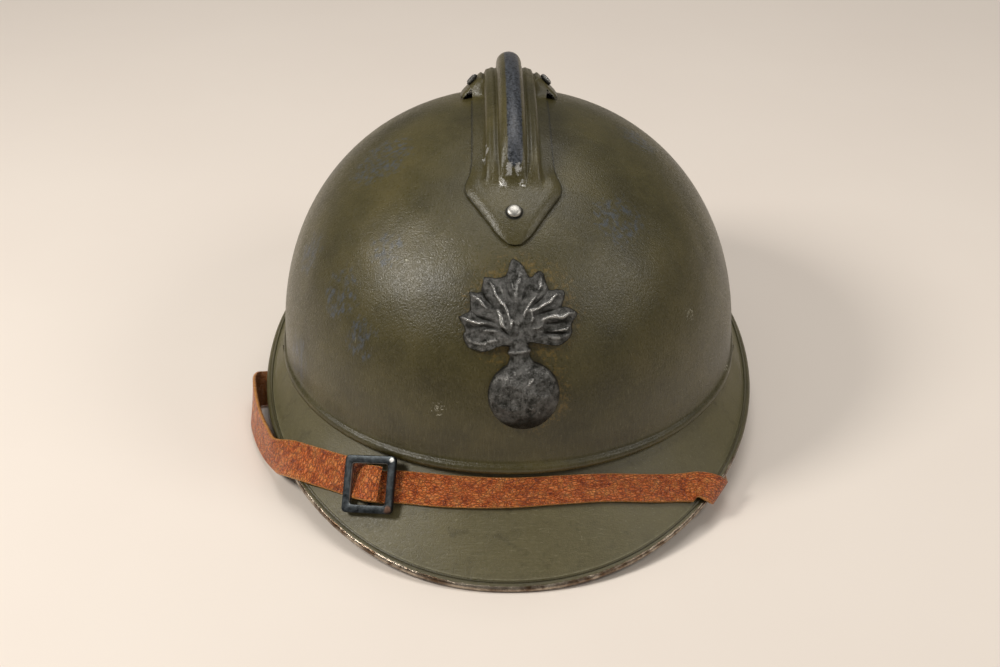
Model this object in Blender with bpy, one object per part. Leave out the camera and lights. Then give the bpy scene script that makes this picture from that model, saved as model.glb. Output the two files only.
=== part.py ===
"""A pressed steel helmet with a crest, a badge and a leather chin strap laid over its visor.

Metres, +Z up. The visor points along -Y and the helmet stands on the tips of its brim.
"""

import math

import bmesh
import bpy
from mathutils import Matrix, Vector

MM = 0.001

# Brim: the outline of its edge from above, and how far its sides lift off the table
BRIM_LENGTH = 292.2 * MM
BRIM_PAST_BOWL = 9.55 * MM
BRIM_POWER = 2.088
BRIM_LIFT = 13.3 * MM
BRIM_LIFT_POWER = 2.33
WORN_FLAT = 0.4 * MM
SHEET = 0.9 * MM
SHEET_SAG = 0.8 * MM
TONGUE = math.radians(6.0)

# Bowl: outside sizes at its base and top, and how square its curves are
BOWL_WIDTH = 202.9 * MM
BOWL_FRONT = 109.6 * MM
BOWL_REAR = 115.1 * MM
BOWL_POWER = 2.045
BOWL_TOP = 132.5 * MM
BASE_SIDE = 30.0 * MM
BASE_ENDS = 32.9 * MM
RISE_POWER = 2.256
ROUND_POWER = 2.139
BOWL_WALL = 0.9 * MM
BEAD_RADIUS = 2.2 * MM
BEAD_SIDE_RADIUS = 1.0 * MM
BEAD_DROP = 1.5 * MM

# The brim reaches past the bowl by the same amount on each side
BRIM_WIDTH = BOWL_WIDTH + 2 * BRIM_PAST_BOWL

# Folded strip round the edge
BINDING_WIDTH = 5.2 * MM
BINDING_WALL = 0.6 * MM
BINDING_RADIUS = 1.6 * MM

# Crest: places are measured from the bowl's middle, along Y
CREST_OFFSET = 0.8 * MM
CREST_TURN = math.radians(0.95)
CREST_FRONT = 70.0 * MM
CREST_REAR = 98.0 * MM
CREST_HALF_WIDTH = 19.8 * MM
CREST_SHEET = 0.8 * MM
CREST_PANEL = 1.2 * MM
CREST_MARGIN = 4.6 * MM
RIDGE_HEIGHT = 17.8 * MM
RIDGE_WIDTH = 10.2 * MM
SHOULDER_HEIGHT = 9.3 * MM
SHOULDER_WIDTH = 21.0 * MM
TAB_MIDDLE = 38.0 * MM
TAB_HALF_WIDTH = 21.2 * MM
TAB_LENGTH = 22.0 * MM
TAB_SLOPE = 5.0 * MM
TAB_RISE = 0.95
VENT_WIDTH = 4.4 * MM
VENT_HEIGHT = 3.4 * MM
VENT_SILL = 0.4 * MM

# Rivets
RIVET_HEAD = 5.8 * MM
RIVET_DOME = 1.7 * MM
RIVET_SHANK = 3.0 * MM
RIVET_TAIL = 3.8 * MM
RIVET_TAIL_THICK = 0.8 * MM
RIVET_SLACK = 1.0 * MM
RIVET_FROM_TIP = 11.7 * MM
SIDE_RIVET_OUT = 15.0 * MM

# Badge
BADGE_OFFSET = 5.4 * MM
BADGE_LEAN = math.radians(5.6)
BOMB_HEIGHT = 66.5 * MM
BOMB_RADIUS = 13.9 * MM
BOMB_RELIEF = 6.8 * MM
BOMB_RIM = 0.5 * MM
COLLAR_WIDTH = 8.2 * MM
COLLAR_LENGTH = 5.0 * MM
COLLAR_RELIEF = 4.0 * MM
FLAME_LENGTH = 35.2 * MM
FLAME_RELIEF = 3.6 * MM
FLAME_EDGE = 1.2 * MM
BADGE_FOOT = 0.1 * MM

# Leather strap
WIDE_STRAP = 15.8 * MM
NARROW_STRAP = 13.4 * MM
LEATHER = 1.6 * MM
STRAP_BULGE = 6.2 * MM
STRAP_SPACE = 1.08 * MM

# Buckle
BUCKLE_TURN = math.radians(-31.4)
BUCKLE_SHARE = 0.396
BUCKLE_HALF_TURN = math.radians(5.3)
BUCKLE_SLOPE = 0.090
BUCKLE_TWIST = math.radians(18.6)
BUCKLE_TILT = math.radians(7.0)
BUCKLE_LENGTH = 22.7 * MM
BUCKLE_BREADTH = 23.4 * MM
BUCKLE_BAR = 3.3 * MM
BUCKLE_THICK = 2.0 * MM
BUCKLE_CORNER = 1.8 * MM
BUCKLE_STAND = 1.2 * MM
CENTRE_BAR = 1.3 * MM
CENTRE_BAR_STAND = 0.65 * MM
CENTRE_BAR_BEND = 0.8 * MM

# Rings that hold the strap's ends inside the bowl
RING_TURN = math.radians(86.0)
LEFT_PULL = math.radians(66.0)
RIGHT_PULL = math.radians(40.0)
RING_WIRE = 2.0 * MM
RING_DROP = 13.0 * MM
RING_HEIGHT = 40.0 * MM
RING_CORNER = 3.0 * MM
RING_STAND = 0.8 * MM
RING_PLATE = 1.2 * MM
RING_PLATE_HIGH = 6.4 * MM
RING_PLATE_WIDE = 10.0 * MM

GAP = 0.3 * MM
Z_AXIS = Vector((0.0, 0.0, 1.0))

# Faces round each piece
TURNS = 45
VISOR_TURNS = 20
DOME_ROWS = 9
STRAP_STEP = 7.5 * MM
RIVET_SIDES = 10
CORNER_STEPS = 3

# Half of the visor's sweep, a whole number of the same steps as the bowl and the binding
SIDE_JOINT = math.pi * VISOR_TURNS / TURNS

# Half of what the strap adds to the width on its side, so that the whole stands over the origin
PLACE = Vector((STRAP_BULGE / 2, 0.0, 0.0))

FLAMES = [  # angle from the badge's axis in degrees, reach as a share of FLAME_LENGTH, ridge 1 or valley 0
    (-92, 0.34, 0), (-88, 0.46, 0), (-80.5, 0.61, 1), (-74.5, 0.65, 0), (-68, 0.65, 1), (-63.5, 0.665, 0),
    (-59, 0.76, 1), (-47.5, 0.67, 0), (-38, 0.81, 1), (-32.5, 0.71, 0), (-21, 0.86, 1), (-13.5, 0.755, 0),
    (-5, 0.84, 0), (1.5, 0.98, 1), (10, 0.895, 0), (15, 0.76, 0), (24, 0.88, 1), (31, 0.74, 0),
    (45, 0.80, 1), (55, 0.64, 0), (66, 0.76, 1), (74, 0.65, 0), (82, 0.60, 1), (91, 0.52, 0), (93, 0.29, 0),
]

CREST_ROWS = [  # place on each half from the middle to the tip; width, ridge, shoulder and panel as shares
    (0.00, 0.84, 1.00, 1.00, 0.0),
    (0.28, 0.84, 0.96, 1.00, 0.0),
    (0.44, 0.84, 0.87, 0.96, 0.0),
    (0.55, 0.85, 0.71, 0.84, 0.1),
    (0.62, 0.88, 0.50, 0.60, 0.5),
    (0.66, 0.95, 0.30, 0.34, 0.9),
    (0.69, 0.99, 0.12, 0.13, 1.0),
    (0.72, 0.99, 0.02, 0.02, 1.0),
    (0.77, 0.87, 0.00, 0.00, 1.0),
    (0.88, 0.56, 0.00, 0.00, 1.0),
    (0.96, 0.33, 0.00, 0.00, 0.5),
    (1.00, 0.10, 0.00, 0.00, 0.0),
]

CREST_SECTION = [  # distance from the middle and height, as shares of the part named in the last column
    (0.00, 1.00, "ridge"),
    (0.55, 0.93, "ridge"),
    (0.90, 0.74, "ridge"),
    (1.00, 0.45, "ridge"),
    (0.10, 0.96, "shoulder"),
    (0.40, 1.00, "shoulder"),
    (0.76, 0.93, "shoulder"),
    (1.00, 0.70, "shoulder"),
    (0.30, 0.06, "flange"),
    (1.00, 0.00, "edge"),
]

RIGHT_STRAP = [  # turn in degrees, share of the visor's depth and share of the strap's width
    (-13, 0.225, 0.98),
    (0, 0.20, 0.90),
    (12, 0.205, 0.88),
    (22, 0.27, 0.86),
    (33, 0.45, 0.88),
    (42, 0.68, 0.92),
]

LEFT_TUCK = [  # place along the buckle as a share of half its length, rise over all, shift to the bowl, width
    (0.32, 0.72, 0.000, 0.93),
    (0.13, 0.93, 0.002, 0.93),
    (-0.10, 1.0, 0.004, 0.93),
    (-0.33, 0.93, 0.008, 0.93),
    (-0.62, 0.44, 0.026, 0.95),
    (-0.90, 0.0, 0.044, 0.98),
    (-1.25, 0.0, 0.068, 1.0),
]

RIGHT_TUCK = [  # the same for the narrow end, which lies between the bar and the wide end
    (-0.31, 0.82, -0.003, 1.0),
    (-0.22, 0.96, -0.006, 1.0),
    (-0.09, 1.0, -0.009, 1.0),
    (0.11, 0.92, -0.011, 1.0),
    (0.42, 0.26, -0.011, 1.0),
    (0.70, 0.0, -0.011, 1.0),
    (1.10, 0.0, -0.011, 1.0),
]

LEFT_OVER = [  # the wide end's way to the edge: turn in degrees, share of the visor's depth, lift over lying
    (-47, 0.605, 0.3),  # lift as a share of the leather's thickness
    (-54.5, 0.835, 1.0),
]

OUTER_STRAP = [  # turn in degrees, distance out, height of the middle, lean of its upper edge out and back
    (-62.0, 0.50, 0.66, -0.20, 0.00),
    (-66.0, 0.78, 0.61, -0.16, 0.00),
    (-70.5, 1.00, 0.585, -0.08, 0.03),
    (-75.0, 1.15, 0.565, 0.00, 0.08),
    (-78.6, 1.15, 0.54, 0.10, 0.22),
    (-81.0, 1.02, 0.51, 0.16, 0.42),
    (-82.3, 0.70, 0.465, 0.16, 0.65),
    (-82.6, 0.28, 0.43, 0.10, 0.90),
]

LEFT_UNDER = [  # beneath the edge: share of half the brim's width, then place forward, height and lean back
    (0.958, 1.11, 0.43, -1.246),  # place and height as shares of the strap's width
    (0.915, 1.01, 0.70, -2.530),
]

RIGHT_FOLD = [  # the fold round the edge: turn in degrees, out and up as shares of the bend's radius
    (47.3, -1.35, 0.92),  # the fold follows the edge, so the strap is crossed at a slant
    (49.2, 0.0, 1.0),
    (50.2, 0.72, 0.72),
    (51.2, 1.0, 0.0),
    (52.2, 0.74, -0.78),
    (53.2, 0.0, -1.12),
    (55.1, -1.35, -1.12),
]
FOLD_WIDTH = 1.15
FOLD_SLACK = 0.6 * MM

RIGHT_UNDER = [  # beneath the visor: turn in degrees, share of its depth, drop as a share of the leather
    (59, 0.72, 2.25),
    (67, 0.62, 2.25),
]

VISOR_SHARES = (0.0, 0.2, 0.3, 0.4, 0.5, 0.6, 0.8, 1.0)
GUARD_SHARES = (0.0, 0.2, 0.4, 0.6, 0.8, 1.0)


def clamp01(value):
    return min(1.0, max(0.0, value))


def smooth(value):
    value = clamp01(value)
    return value * value * (3 - 2 * value)


def mix(a, b, share):
    return a + (b - a) * share


def oval(turn, half_width, front, rear, power):
    """Point of a superellipse, with turn 0 at the front and a quarter turn at +X."""
    s, c = math.sin(turn), math.cos(turn)
    size = (abs(s) ** power + abs(c) ** power) ** (-1 / power)
    reach = front if c > 0 else rear
    return Vector((half_width * size * s, -reach * size * c, 0.0))


def base_point(turn):
    """Where the bowl's wall ends, just above the bead."""
    point = oval(turn, BOWL_WIDTH / 2, BOWL_FRONT, BOWL_REAR, BOWL_POWER)
    reach = BOWL_FRONT if point.y < 0 else BOWL_REAR
    point.z = mix(BASE_SIDE, BASE_ENDS, (point.y / reach) ** 2)
    return point


def bowl_height(x, y):
    """Height of the bowl's outer surface over a point of the plan."""
    reach = BOWL_FRONT if y < 0 else BOWL_REAR
    across, along = abs(x) / (BOWL_WIDTH / 2), abs(y) / reach
    ring = (across**BOWL_POWER + along**BOWL_POWER) ** (1 / BOWL_POWER)
    base = mix(BASE_SIDE, BASE_ENDS, (along / ring) ** 2) if ring else BASE_SIDE
    if ring >= 1:
        return base
    return mix(base, BOWL_TOP, (1 - ring**ROUND_POWER) ** (1 / RISE_POWER))


def bowl_point(x, y):
    return Vector((x, y, bowl_height(x, y)))


def bowl_normal(x, y):
    step = 0.05 * MM
    slope_x = (bowl_height(x + step, y) - bowl_height(x - step, y)) / (2 * step)
    slope_y = (bowl_height(x, y + step) - bowl_height(x, y - step)) / (2 * step)
    return Vector((-slope_x, -slope_y, 1.0)).normalized()


def front_point(across, height):
    """Point of the bowl's front at a height, found by halving."""
    near, far = -BOWL_FRONT, 0.0
    for _ in range(40):
        middle = (near + far) / 2
        if bowl_height(across, middle) < height:
            near = middle
        else:
            far = middle
    return Vector((across, far, height))


def bead_radius(turn):
    return mix(BEAD_SIDE_RADIUS, BEAD_RADIUS, smooth((abs(math.cos(turn)) - 0.10) / 0.35))


def brim_frame(turn):
    """Start and end of the brim sheet's middle line, with its outward and upward directions."""
    base = base_point(turn)
    edge = oval(turn, BRIM_WIDTH / 2, BRIM_LENGTH / 2, BRIM_LENGTH / 2, BRIM_POWER)
    lift = BRIM_LIFT * (1 - abs(edge.y / (BRIM_LENGTH / 2)) ** BRIM_LIFT_POWER)
    outward = Vector((edge.x - base.x, edge.y - base.y, 0.0)).normalized()
    edge -= outward * BINDING_RADIUS
    edge.z = BINDING_RADIUS - WORN_FLAT + lift
    radius = bead_radius(turn)
    bead = base + outward * radius * 0.25 + Vector((0, 0, radius - BEAD_DROP))
    start = bead
    for _ in range(3):
        along = (edge - start).normalized()
        upward = Vector((-along.z * outward.x, -along.z * outward.y, along.dot(outward)))
        start = bead - upward * (radius + GAP + SHEET / 2)
    return start, edge, along, upward


def brim_point(turn, share, lift=0.0):
    """Point of the brim sheet: share 0 under the bead, 1 at the edge, lift above its middle."""
    start, edge, _, upward = brim_frame(turn)
    sag = SHEET_SAG * 4 * share * (1 - share)
    return start.lerp(edge, share) + upward * (lift - sag)


def brim_normal(turn, share):
    step = 0.01
    along = brim_point(turn, share + step) - brim_point(turn, share - step)
    round_it = brim_point(turn + step, share) - brim_point(turn - step, share)
    return round_it.cross(along).normalized() * -1


def material(name, colour, roughness, metallic):
    finish = bpy.data.materials.new(name)
    finish.use_nodes = True
    shader = finish.node_tree.nodes["Principled BSDF"]
    shader.inputs["Base Color"].default_value = (*colour, 1.0)
    shader.inputs["Roughness"].default_value = roughness
    shader.inputs["Metallic"].default_value = metallic
    return finish


def add_object(name, points, faces, finish=None):
    """Object from points round the helmet's own middle, with its doubles merged and faces outwards."""
    mesh = bpy.data.meshes.new(name)
    mesh.from_pydata([point + PLACE for point in points], [], faces)
    shape = bmesh.new()
    shape.from_mesh(mesh)
    bmesh.ops.remove_doubles(shape, verts=shape.verts, dist=0.001 * MM)
    bmesh.ops.triangulate(shape, faces=shape.faces)
    bmesh.ops.recalc_face_normals(shape, faces=shape.faces)
    shape.to_mesh(mesh)
    shape.free()
    mesh.shade_smooth()
    mesh.set_sharp_from_angle(angle=math.radians(35))
    made = bpy.data.objects.new(name, mesh)
    bpy.context.scene.collection.objects.link(made)
    if finish:
        mesh.materials.append(finish)
    else:
        made.hide_render = True
        made.display_type = "WIRE"
    return made


def boolean(target, cutter, operation):
    modifier = target.modifiers.new(cutter.name, "BOOLEAN")
    modifier.operation = operation
    modifier.object = cutter


def sheet_solid(top, bottom, wrap=False):
    """Points and faces of a sheet, from a grid for each side. wrap joins the last column to the first."""
    rows, columns = len(top), len(top[0])
    points = [point for grid in (top, bottom) for row in grid for point in row]
    under = rows * columns
    spans = columns if wrap else columns - 1
    faces = []
    for i in range(rows - 1):
        for j in range(spans):
            a, b = i * columns + j, i * columns + (j + 1) % columns
            quad = (a, b, b + columns, a + columns)
            faces.append(quad)
            faces.append(tuple(under + k for k in reversed(quad)))
    for i in (0, rows - 1):
        for j in range(spans):
            a, b = i * columns + j, i * columns + (j + 1) % columns
            faces.append((a, b, under + b, under + a))
    if not wrap:
        for j in (0, columns - 1):
            for i in range(rows - 1):
                a, b = i * columns + j, (i + 1) * columns + j
                faces.append((a, b, under + b, under + a))
    return points, faces


def tube_solid(loops, closed):
    """Points and faces through equal loops, capped at both ends unless closed."""
    count, sides = len(loops), len(loops[0])
    points = [point for loop in loops for point in loop]
    faces = []
    for i in range(count if closed else count - 1):
        for j in range(sides):
            k = (j + 1) % sides
            a, b = i * sides, (i + 1) % count * sides
            faces.append((a + j, a + k, b + k, b + j))
    if not closed:
        faces.append(tuple(range(sides)))
        faces.append(tuple(range((count - 1) * sides, count * sides)))
    return points, faces


def bowl_profile(turn):
    """Outer and inner points of the bowl's wall at one turn, from the top to the lip."""
    base = base_point(turn)
    outward = brim_frame(turn)[1] - base
    outward.z = 0.0
    outward.normalize()
    radius = bead_radius(turn)
    centre = Vector((radius * 0.25, radius - BEAD_DROP))
    inner_radius = max(radius - BOWL_WALL, 0.15 * radius)
    neck = centre.y + 1.9 * radius
    outer, inner = [], []
    for row in range(DOME_ROWS + 1):
        share = math.sin(math.pi / 2 * (1 - row / DOME_ROWS))
        share = max(share, neck / (BOWL_TOP - base.z))
        ring = max(0.0, 1 - share**RISE_POWER) ** (1 / ROUND_POWER)
        if row == 0:
            outer.append(Vector((0, 0, BOWL_TOP)))
            inner.append(Vector((0, 0, BOWL_TOP - BOWL_WALL)))
            continue
        point = Vector((base.x * ring, base.y * ring, mix(base.z, BOWL_TOP, share)))
        outer.append(point)
        inner.append(point - bowl_normal(point.x, point.y) * BOWL_WALL)
    outer.append(base + outward * 0.1 * radius + Vector((0, 0, centre.y + 1.3 * radius)))
    inner.append(outer[-1] - outward * BOWL_WALL)
    for angle in (75, 36, 0, -40, -80):
        way = Vector((math.cos(math.radians(angle)), math.sin(math.radians(angle))))
        for points, size in ((outer, radius), (inner, inner_radius)):
            place = centre + way * size
            points.append(base + outward * place.x + Vector((0, 0, place.y)))
    return outer, inner


def make_bowl(finish):
    profiles = [bowl_profile(2 * math.pi * i / TURNS) for i in range(TURNS)]
    rows = len(profiles[0][0])
    outer = [[profile[0][row] for profile in profiles] for row in range(rows)]
    inner = [[profile[1][row] for profile in profiles] for row in range(rows)]
    return add_object("bowl", *sheet_solid(outer, inner, wrap=True), finish)


def sheet_end():
    """Share at which both brim sheets stop, inside the binding."""
    start, edge, _, _ = brim_frame(0.0)
    return 1 - GAP / (edge - start).length


def tongue(turn, share):
    """How far the visor's rounded end reaches past the joint, as a share, and its lift over the neck guard."""
    reach = math.sqrt(max(0.0, 1 - ((share - 0.4) / 0.2) ** 2))
    rise = smooth((abs(turn) - SIDE_JOINT + TONGUE) / TONGUE)
    window = smooth(share / 0.2) * smooth((0.8 - share) / 0.2)
    return reach, (SHEET + GAP) * rise * window


def make_visor(finish):
    places = [(SIDE_JOINT * i * 2 / VISOR_TURNS, 0.0) for i in range(-VISOR_TURNS // 2, VISOR_TURNS // 2 + 1)]
    places = [(-SIDE_JOINT, -1.0), (-SIDE_JOINT, -0.6), *places, (SIDE_JOINT, 0.6), (SIDE_JOINT, 1.0)]
    top, bottom = [], []
    for turn, past in places:
        top.append([])
        bottom.append([])
        for share in VISOR_SHARES:
            reach, lift = tongue(turn, share)
            at = turn + past * TONGUE * reach
            place = share * sheet_end()
            top[-1].append(brim_point(at, place, lift + SHEET / 2))
            bottom[-1].append(brim_point(at, place, lift - SHEET / 2))
    return add_object("visor", *sheet_solid(top, bottom), finish)


def make_neck_guard(finish):
    top, bottom = [], []
    stations = TURNS - VISOR_TURNS
    first = SIDE_JOINT + GAP / (BRIM_WIDTH / 2)
    for i in range(stations + 1):
        turn = mix(first, 2 * math.pi - first, i / stations)
        top.append([brim_point(turn, share * sheet_end(), SHEET / 2) for share in GUARD_SHARES])
        bottom.append([brim_point(turn, share * sheet_end(), -SHEET / 2) for share in GUARD_SHARES])
    return add_object("neck_guard", *sheet_solid(top, bottom), finish)


def binding_section(turn):
    """The strip's section at one turn: round outside, with a channel for the sheet's edge."""
    _, edge, _, _ = brim_frame(turn)
    along = (edge - brim_point(turn, 0.92)).normalized()
    outward = Vector((along.x, along.y, 0.0)).normalized()
    upward = Vector((-along.z * outward.x, -along.z * outward.y, along.dot(outward)))
    channel = SHEET / 2 + GAP
    skin = channel + BINDING_WALL
    mouth = BINDING_RADIUS - BINDING_WIDTH
    outline = [(mouth, channel), (mouth, skin), (-1.1 * BINDING_RADIUS, skin)]
    for angle in (105, 60, 20, -15, -40, -65, -105):
        way = math.radians(angle)
        outline.append((BINDING_RADIUS * math.cos(way), BINDING_RADIUS * math.sin(way)))
    outline += [(-1.1 * BINDING_RADIUS, -skin), (mouth, -skin), (mouth, -channel), (0.0, -channel), (0.0, channel)]
    points = [edge + along * out + upward * up for out, up in outline]
    for point in points:
        point.z = max(point.z, 0.0)
    return points


def make_binding(finish):
    loops = [binding_section(2 * math.pi * i / TURNS) for i in range(TURNS)]
    return add_object("edge_binding", *tube_solid(loops, closed=True), finish)


def crest_middle(place):
    """The crest sits a little askew on the bowl."""
    return CREST_OFFSET - place * math.tan(CREST_TURN)


def crest_stations():
    """Rows of the crest from its front tip to its rear tip: place along Y and the three shares."""
    middle = (CREST_REAR - CREST_FRONT) / 2
    half = (CREST_REAR + CREST_FRONT) / 2
    front = [(middle - half * row[0], *row[1:]) for row in reversed(CREST_ROWS)]
    rear = [(middle + half * row[0], *row[1:]) for row in CREST_ROWS[1:]]
    rows = front + rear
    edges = []
    for side in (-1, 1):
        for step in (0.0, 0.5, 1.0):
            edges.append(TAB_MIDDLE + side * (TAB_LENGTH / 2 - TAB_SLOPE * step))
    for place in edges:
        after = next(i for i, row in enumerate(rows) if row[0] > place)
        low, high = rows[after - 1], rows[after]
        share = (place - low[0]) / (high[0] - low[0])
        rows.insert(after, tuple(mix(a, b, share) for a, b in zip(low, high)))
    return rows


def crest_half(place, width, ridge, shoulder, panel):
    """Outer points of half a section, as distance from the middle and height over the flange."""
    flange = CREST_HALF_WIDTH * width
    margin = max(flange - CREST_MARGIN, 0.55 * flange)
    shoulder_out = min(SHOULDER_WIDTH / 2, 0.9 * margin)
    radius = min(RIDGE_WIDTH / 2, 0.5 * margin)
    tab = smooth((TAB_LENGTH / 2 - abs(place - TAB_MIDDLE)) / TAB_SLOPE)
    lift = CREST_PANEL * panel
    high, low = RIDGE_HEIGHT * ridge, SHOULDER_HEIGHT * shoulder
    steep_height = SHOULDER_HEIGHT * TAB_RISE
    outline = []
    for out, up, part in CREST_SECTION:
        if part == "ridge":
            flat = (out * radius, lift + mix(0.8 * low, high, up))
            steep = flat
        elif part == "shoulder":
            flat = (mix(radius, shoulder_out, out), lift + low * up)
            steep = flat
        elif part == "flange":
            flat = (mix(shoulder_out, margin, out), lift + low * up)
            steep = (mix(shoulder_out, TAB_HALF_WIDTH, out), steep_height * (1 - out))
        else:
            flat = (flange, 0.0)
            steep = (TAB_HALF_WIDTH, 0.0)
        outline.append(tuple(mix(a, b, tab) for a, b in zip(flat, steep)))
    return outline


def moved_inwards(outline, thickness):
    """The outline with each side moved towards the bowl by the same thickness."""
    normals = []
    for a, b in zip(outline, outline[1:]):
        side = Vector((b[1] - a[1], a[0] - b[0]))
        normals.append(side.normalized())
    moved = []
    for i, point in enumerate(outline):
        before, after = normals[max(i - 1, 0)], normals[min(i, len(normals) - 1)]
        shift = (before + after) * (thickness / max(1 + before.dot(after), 0.5))
        moved.append((point[0] + shift.x, point[1] + shift.y))
    return moved


def make_crest(finish):
    top, bottom = [], []
    for row in crest_stations():
        place = row[0]
        half = crest_half(*row)
        outer = [(-out, up + CREST_SHEET) for out, up in reversed(half[1:])]
        outer += [(out, up + CREST_SHEET) for out, up in half]
        inner = moved_inwards(outer, CREST_SHEET)
        for grid, outline in ((bottom, inner), (top, outer)):
            grid.append([])
            for out, up in outline:
                x = crest_middle(place) + out
                grid[-1].append(bowl_point(x, place) + bowl_normal(x, place) * (GAP + up))
    crest = add_object("crest", *sheet_solid(top, bottom), finish)
    vents = [vent_cutter(side) for side in (-1, 1)]
    for vent in vents:
        boolean(crest, vent, "DIFFERENCE")
    return crest


def vent_cutter(side):
    """A wedge that opens the front slope of a side tab."""
    front = TAB_MIDDLE - TAB_LENGTH / 2
    outer = TAB_HALF_WIDTH - GAP
    floor = GAP + CREST_SHEET + VENT_SILL
    corners = [(outer - VENT_WIDTH, 0.0), (outer, 0.0), (outer - VENT_WIDTH, VENT_HEIGHT)]
    loops = []
    for place in (front - TAB_SLOPE / 2, front + 1.5 * TAB_SLOPE):
        loop = []
        for out, up in corners:
            x = crest_middle(place) + side * out
            loop.append(bowl_point(x, place) + bowl_normal(x, place) * (floor + up))
        loops.append(loop)
    return add_object("vent_cutter_" + ("left" if side < 0 else "right"), *tube_solid(loops, closed=False))


def turned(profile, sides, place, axis):
    """Points and faces of a turned shape; the profile gives radius and height along the axis."""
    turn = Vector((0, 0, 1)).rotation_difference(axis).to_matrix()
    loops = []
    for radius, height in profile:
        ring = []
        for i in range(sides):
            angle = 2 * math.pi * i / sides
            ring.append(place + turn @ Vector((radius * math.cos(angle), radius * math.sin(angle), height)))
        loops.append(ring)
    return tube_solid(loops, closed=False)


def rivet_seats():
    """Name, point on the crest's outer face, axis and clamped thickness of each rivet."""
    seats = []
    for name, y in (("front", -CREST_FRONT + RIVET_FROM_TIP), ("rear", CREST_REAR - RIVET_FROM_TIP)):
        x = crest_middle(y)
        axis = bowl_normal(x, y)
        seat = bowl_point(x, y) + axis * (GAP + CREST_PANEL + CREST_SHEET)
        seats.append((name, seat, axis, CREST_SHEET + CREST_PANEL + GAP + BOWL_WALL))
    rise = SHOULDER_HEIGHT * TAB_RISE
    run = TAB_HALF_WIDTH - SHOULDER_WIDTH / 2
    for name, side in (("left", -1), ("right", 1)):
        share = (SIDE_RIVET_OUT - SHOULDER_WIDTH / 2) / run
        x = crest_middle(TAB_MIDDLE) + side * SIDE_RIVET_OUT
        up = bowl_normal(x, TAB_MIDDLE)
        across = Vector((0, 1, 0)).cross(up).normalized() * side
        axis = (up * run + across * rise).normalized()
        foot = bowl_point(x, TAB_MIDDLE) + up * (GAP + CREST_SHEET + rise * (1 - share))
        seats.append((name, foot, axis, CREST_SHEET))
    return seats


def make_rivets(finish, crest, bowl):
    head, shank, tail = RIVET_HEAD / 2, RIVET_SHANK / 2, RIVET_TAIL / 2
    top = GAP + RIVET_DOME
    for name, seat, axis, grip in rivet_seats():
        under = -grip - RIVET_SLACK
        profile = [(0, top), (0.5 * head, top - 0.1 * RIVET_DOME), (0.85 * head, top - 0.4 * RIVET_DOME),
                   (head, GAP + 0.15 * RIVET_DOME), (0.95 * head, GAP), (shank, GAP), (shank, under),
                   (tail, under), (tail, under - RIVET_TAIL_THICK), (0, under - RIVET_TAIL_THICK)]
        add_object("rivet_" + name, *turned(profile, RIVET_SIDES, seat, axis), finish)
        reach = RIVET_HEAD / 2
        hole = [(0, reach), (shank + GAP, reach), (shank + GAP, under - reach), (0, under - reach)]
        cutter = add_object("rivet_hole_" + name, *turned(hole, RIVET_SIDES, seat, axis))
        boolean(crest, cutter, "DIFFERENCE")
        if name in ("front", "rear"):
            boolean(bowl, cutter, "DIFFERENCE")


def badge_point(across, up, relief):
    """Point over the bowl's front, from the bomb's centre, along the badge's own leaning axis."""
    lean_across = across * math.cos(BADGE_LEAN) - up * math.sin(BADGE_LEAN)
    lean_up = up * math.cos(BADGE_LEAN) + across * math.sin(BADGE_LEAN)
    height, x = BOMB_HEIGHT, BADGE_OFFSET + lean_across
    steps = 12
    for _ in range(steps):
        here = front_point(x, height)
        height += lean_up / steps * math.hypot(*bowl_normal(x, here.y).xy)
    here = front_point(x, height)
    return here + bowl_normal(x, here.y) * (GAP + relief)


def make_flames():
    base_up = BOMB_RADIUS + 0.9 * COLLAR_LENGTH
    grids = [[], []]
    for ring in (0.10, 0.32, 0.58, 0.82, 1.00):
        for grid in grids:
            grid.append([])
        for degrees, reach, ridge in FLAMES:
            way, size = math.radians(degrees), FLAME_LENGTH * reach * ring
            across, up = size * math.sin(way), base_up + size * math.cos(way)
            crown = mix(FLAME_RELIEF, FLAME_EDGE, ring**1.3)
            valley = 1 - 0.35 * (1 - ridge) * math.sin(math.pi * clamp01(ring * 0.9))
            grids[0][-1].append(badge_point(across, up, crown * valley))
            grids[1][-1].append(badge_point(across, up, BADGE_FOOT))
    return sheet_solid(*grids)


def make_bomb():
    grids = [[], []]
    for share in (0.0, 0.30, 0.56, 0.78, 0.93, 1.0):
        relief = BOMB_RELIEF * math.sqrt(1 - share**2) + BOMB_RIM
        for grid, height in zip(grids, (relief, 0.0)):
            grid.append([])
            for i in range(18):
                way = 2 * math.pi * i / 18
                size = BOMB_RADIUS * share
                grid[-1].append(badge_point(size * math.sin(way), size * math.cos(way), height))
    return sheet_solid(*grids, wrap=True)


def make_collar():
    grids = [[], []]
    half, start = COLLAR_WIDTH / 2, BOMB_RADIUS - 0.45 * COLLAR_LENGTH
    for step in range(4):
        up = start + 2.0 * COLLAR_LENGTH * step / 3
        for grid in grids:
            grid.append([])
        for share in (-1.0, -0.7, 0.0, 0.7, 1.0):
            relief = COLLAR_RELIEF * mix(0.55, 1.0, math.sqrt(1 - share**2))
            grids[0][-1].append(badge_point(half * share, up, relief))
            grids[1][-1].append(badge_point(half * share, up, BADGE_FOOT / 2))
    return sheet_solid(*grids)


def make_badge(finish):
    badge = add_object("badge", *make_flames(), finish)
    boolean(badge, add_object("badge_collar", *make_collar()), "UNION")
    boolean(badge, add_object("badge_bomb", *make_bomb()), "UNION")
    return badge


def strap_heights():
    """Height of the leather's middle over the sheet's middle: lying, over the centre bar, and over both."""
    lying = SHEET / 2 + GAP + LEATHER / 2
    bar = lying + CENTRE_BAR_STAND
    over_bar = bar + CENTRE_BAR / 2 + GAP + LEATHER / 2
    return lying, bar, over_bar, over_bar + LEATHER + STRAP_SPACE


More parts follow.
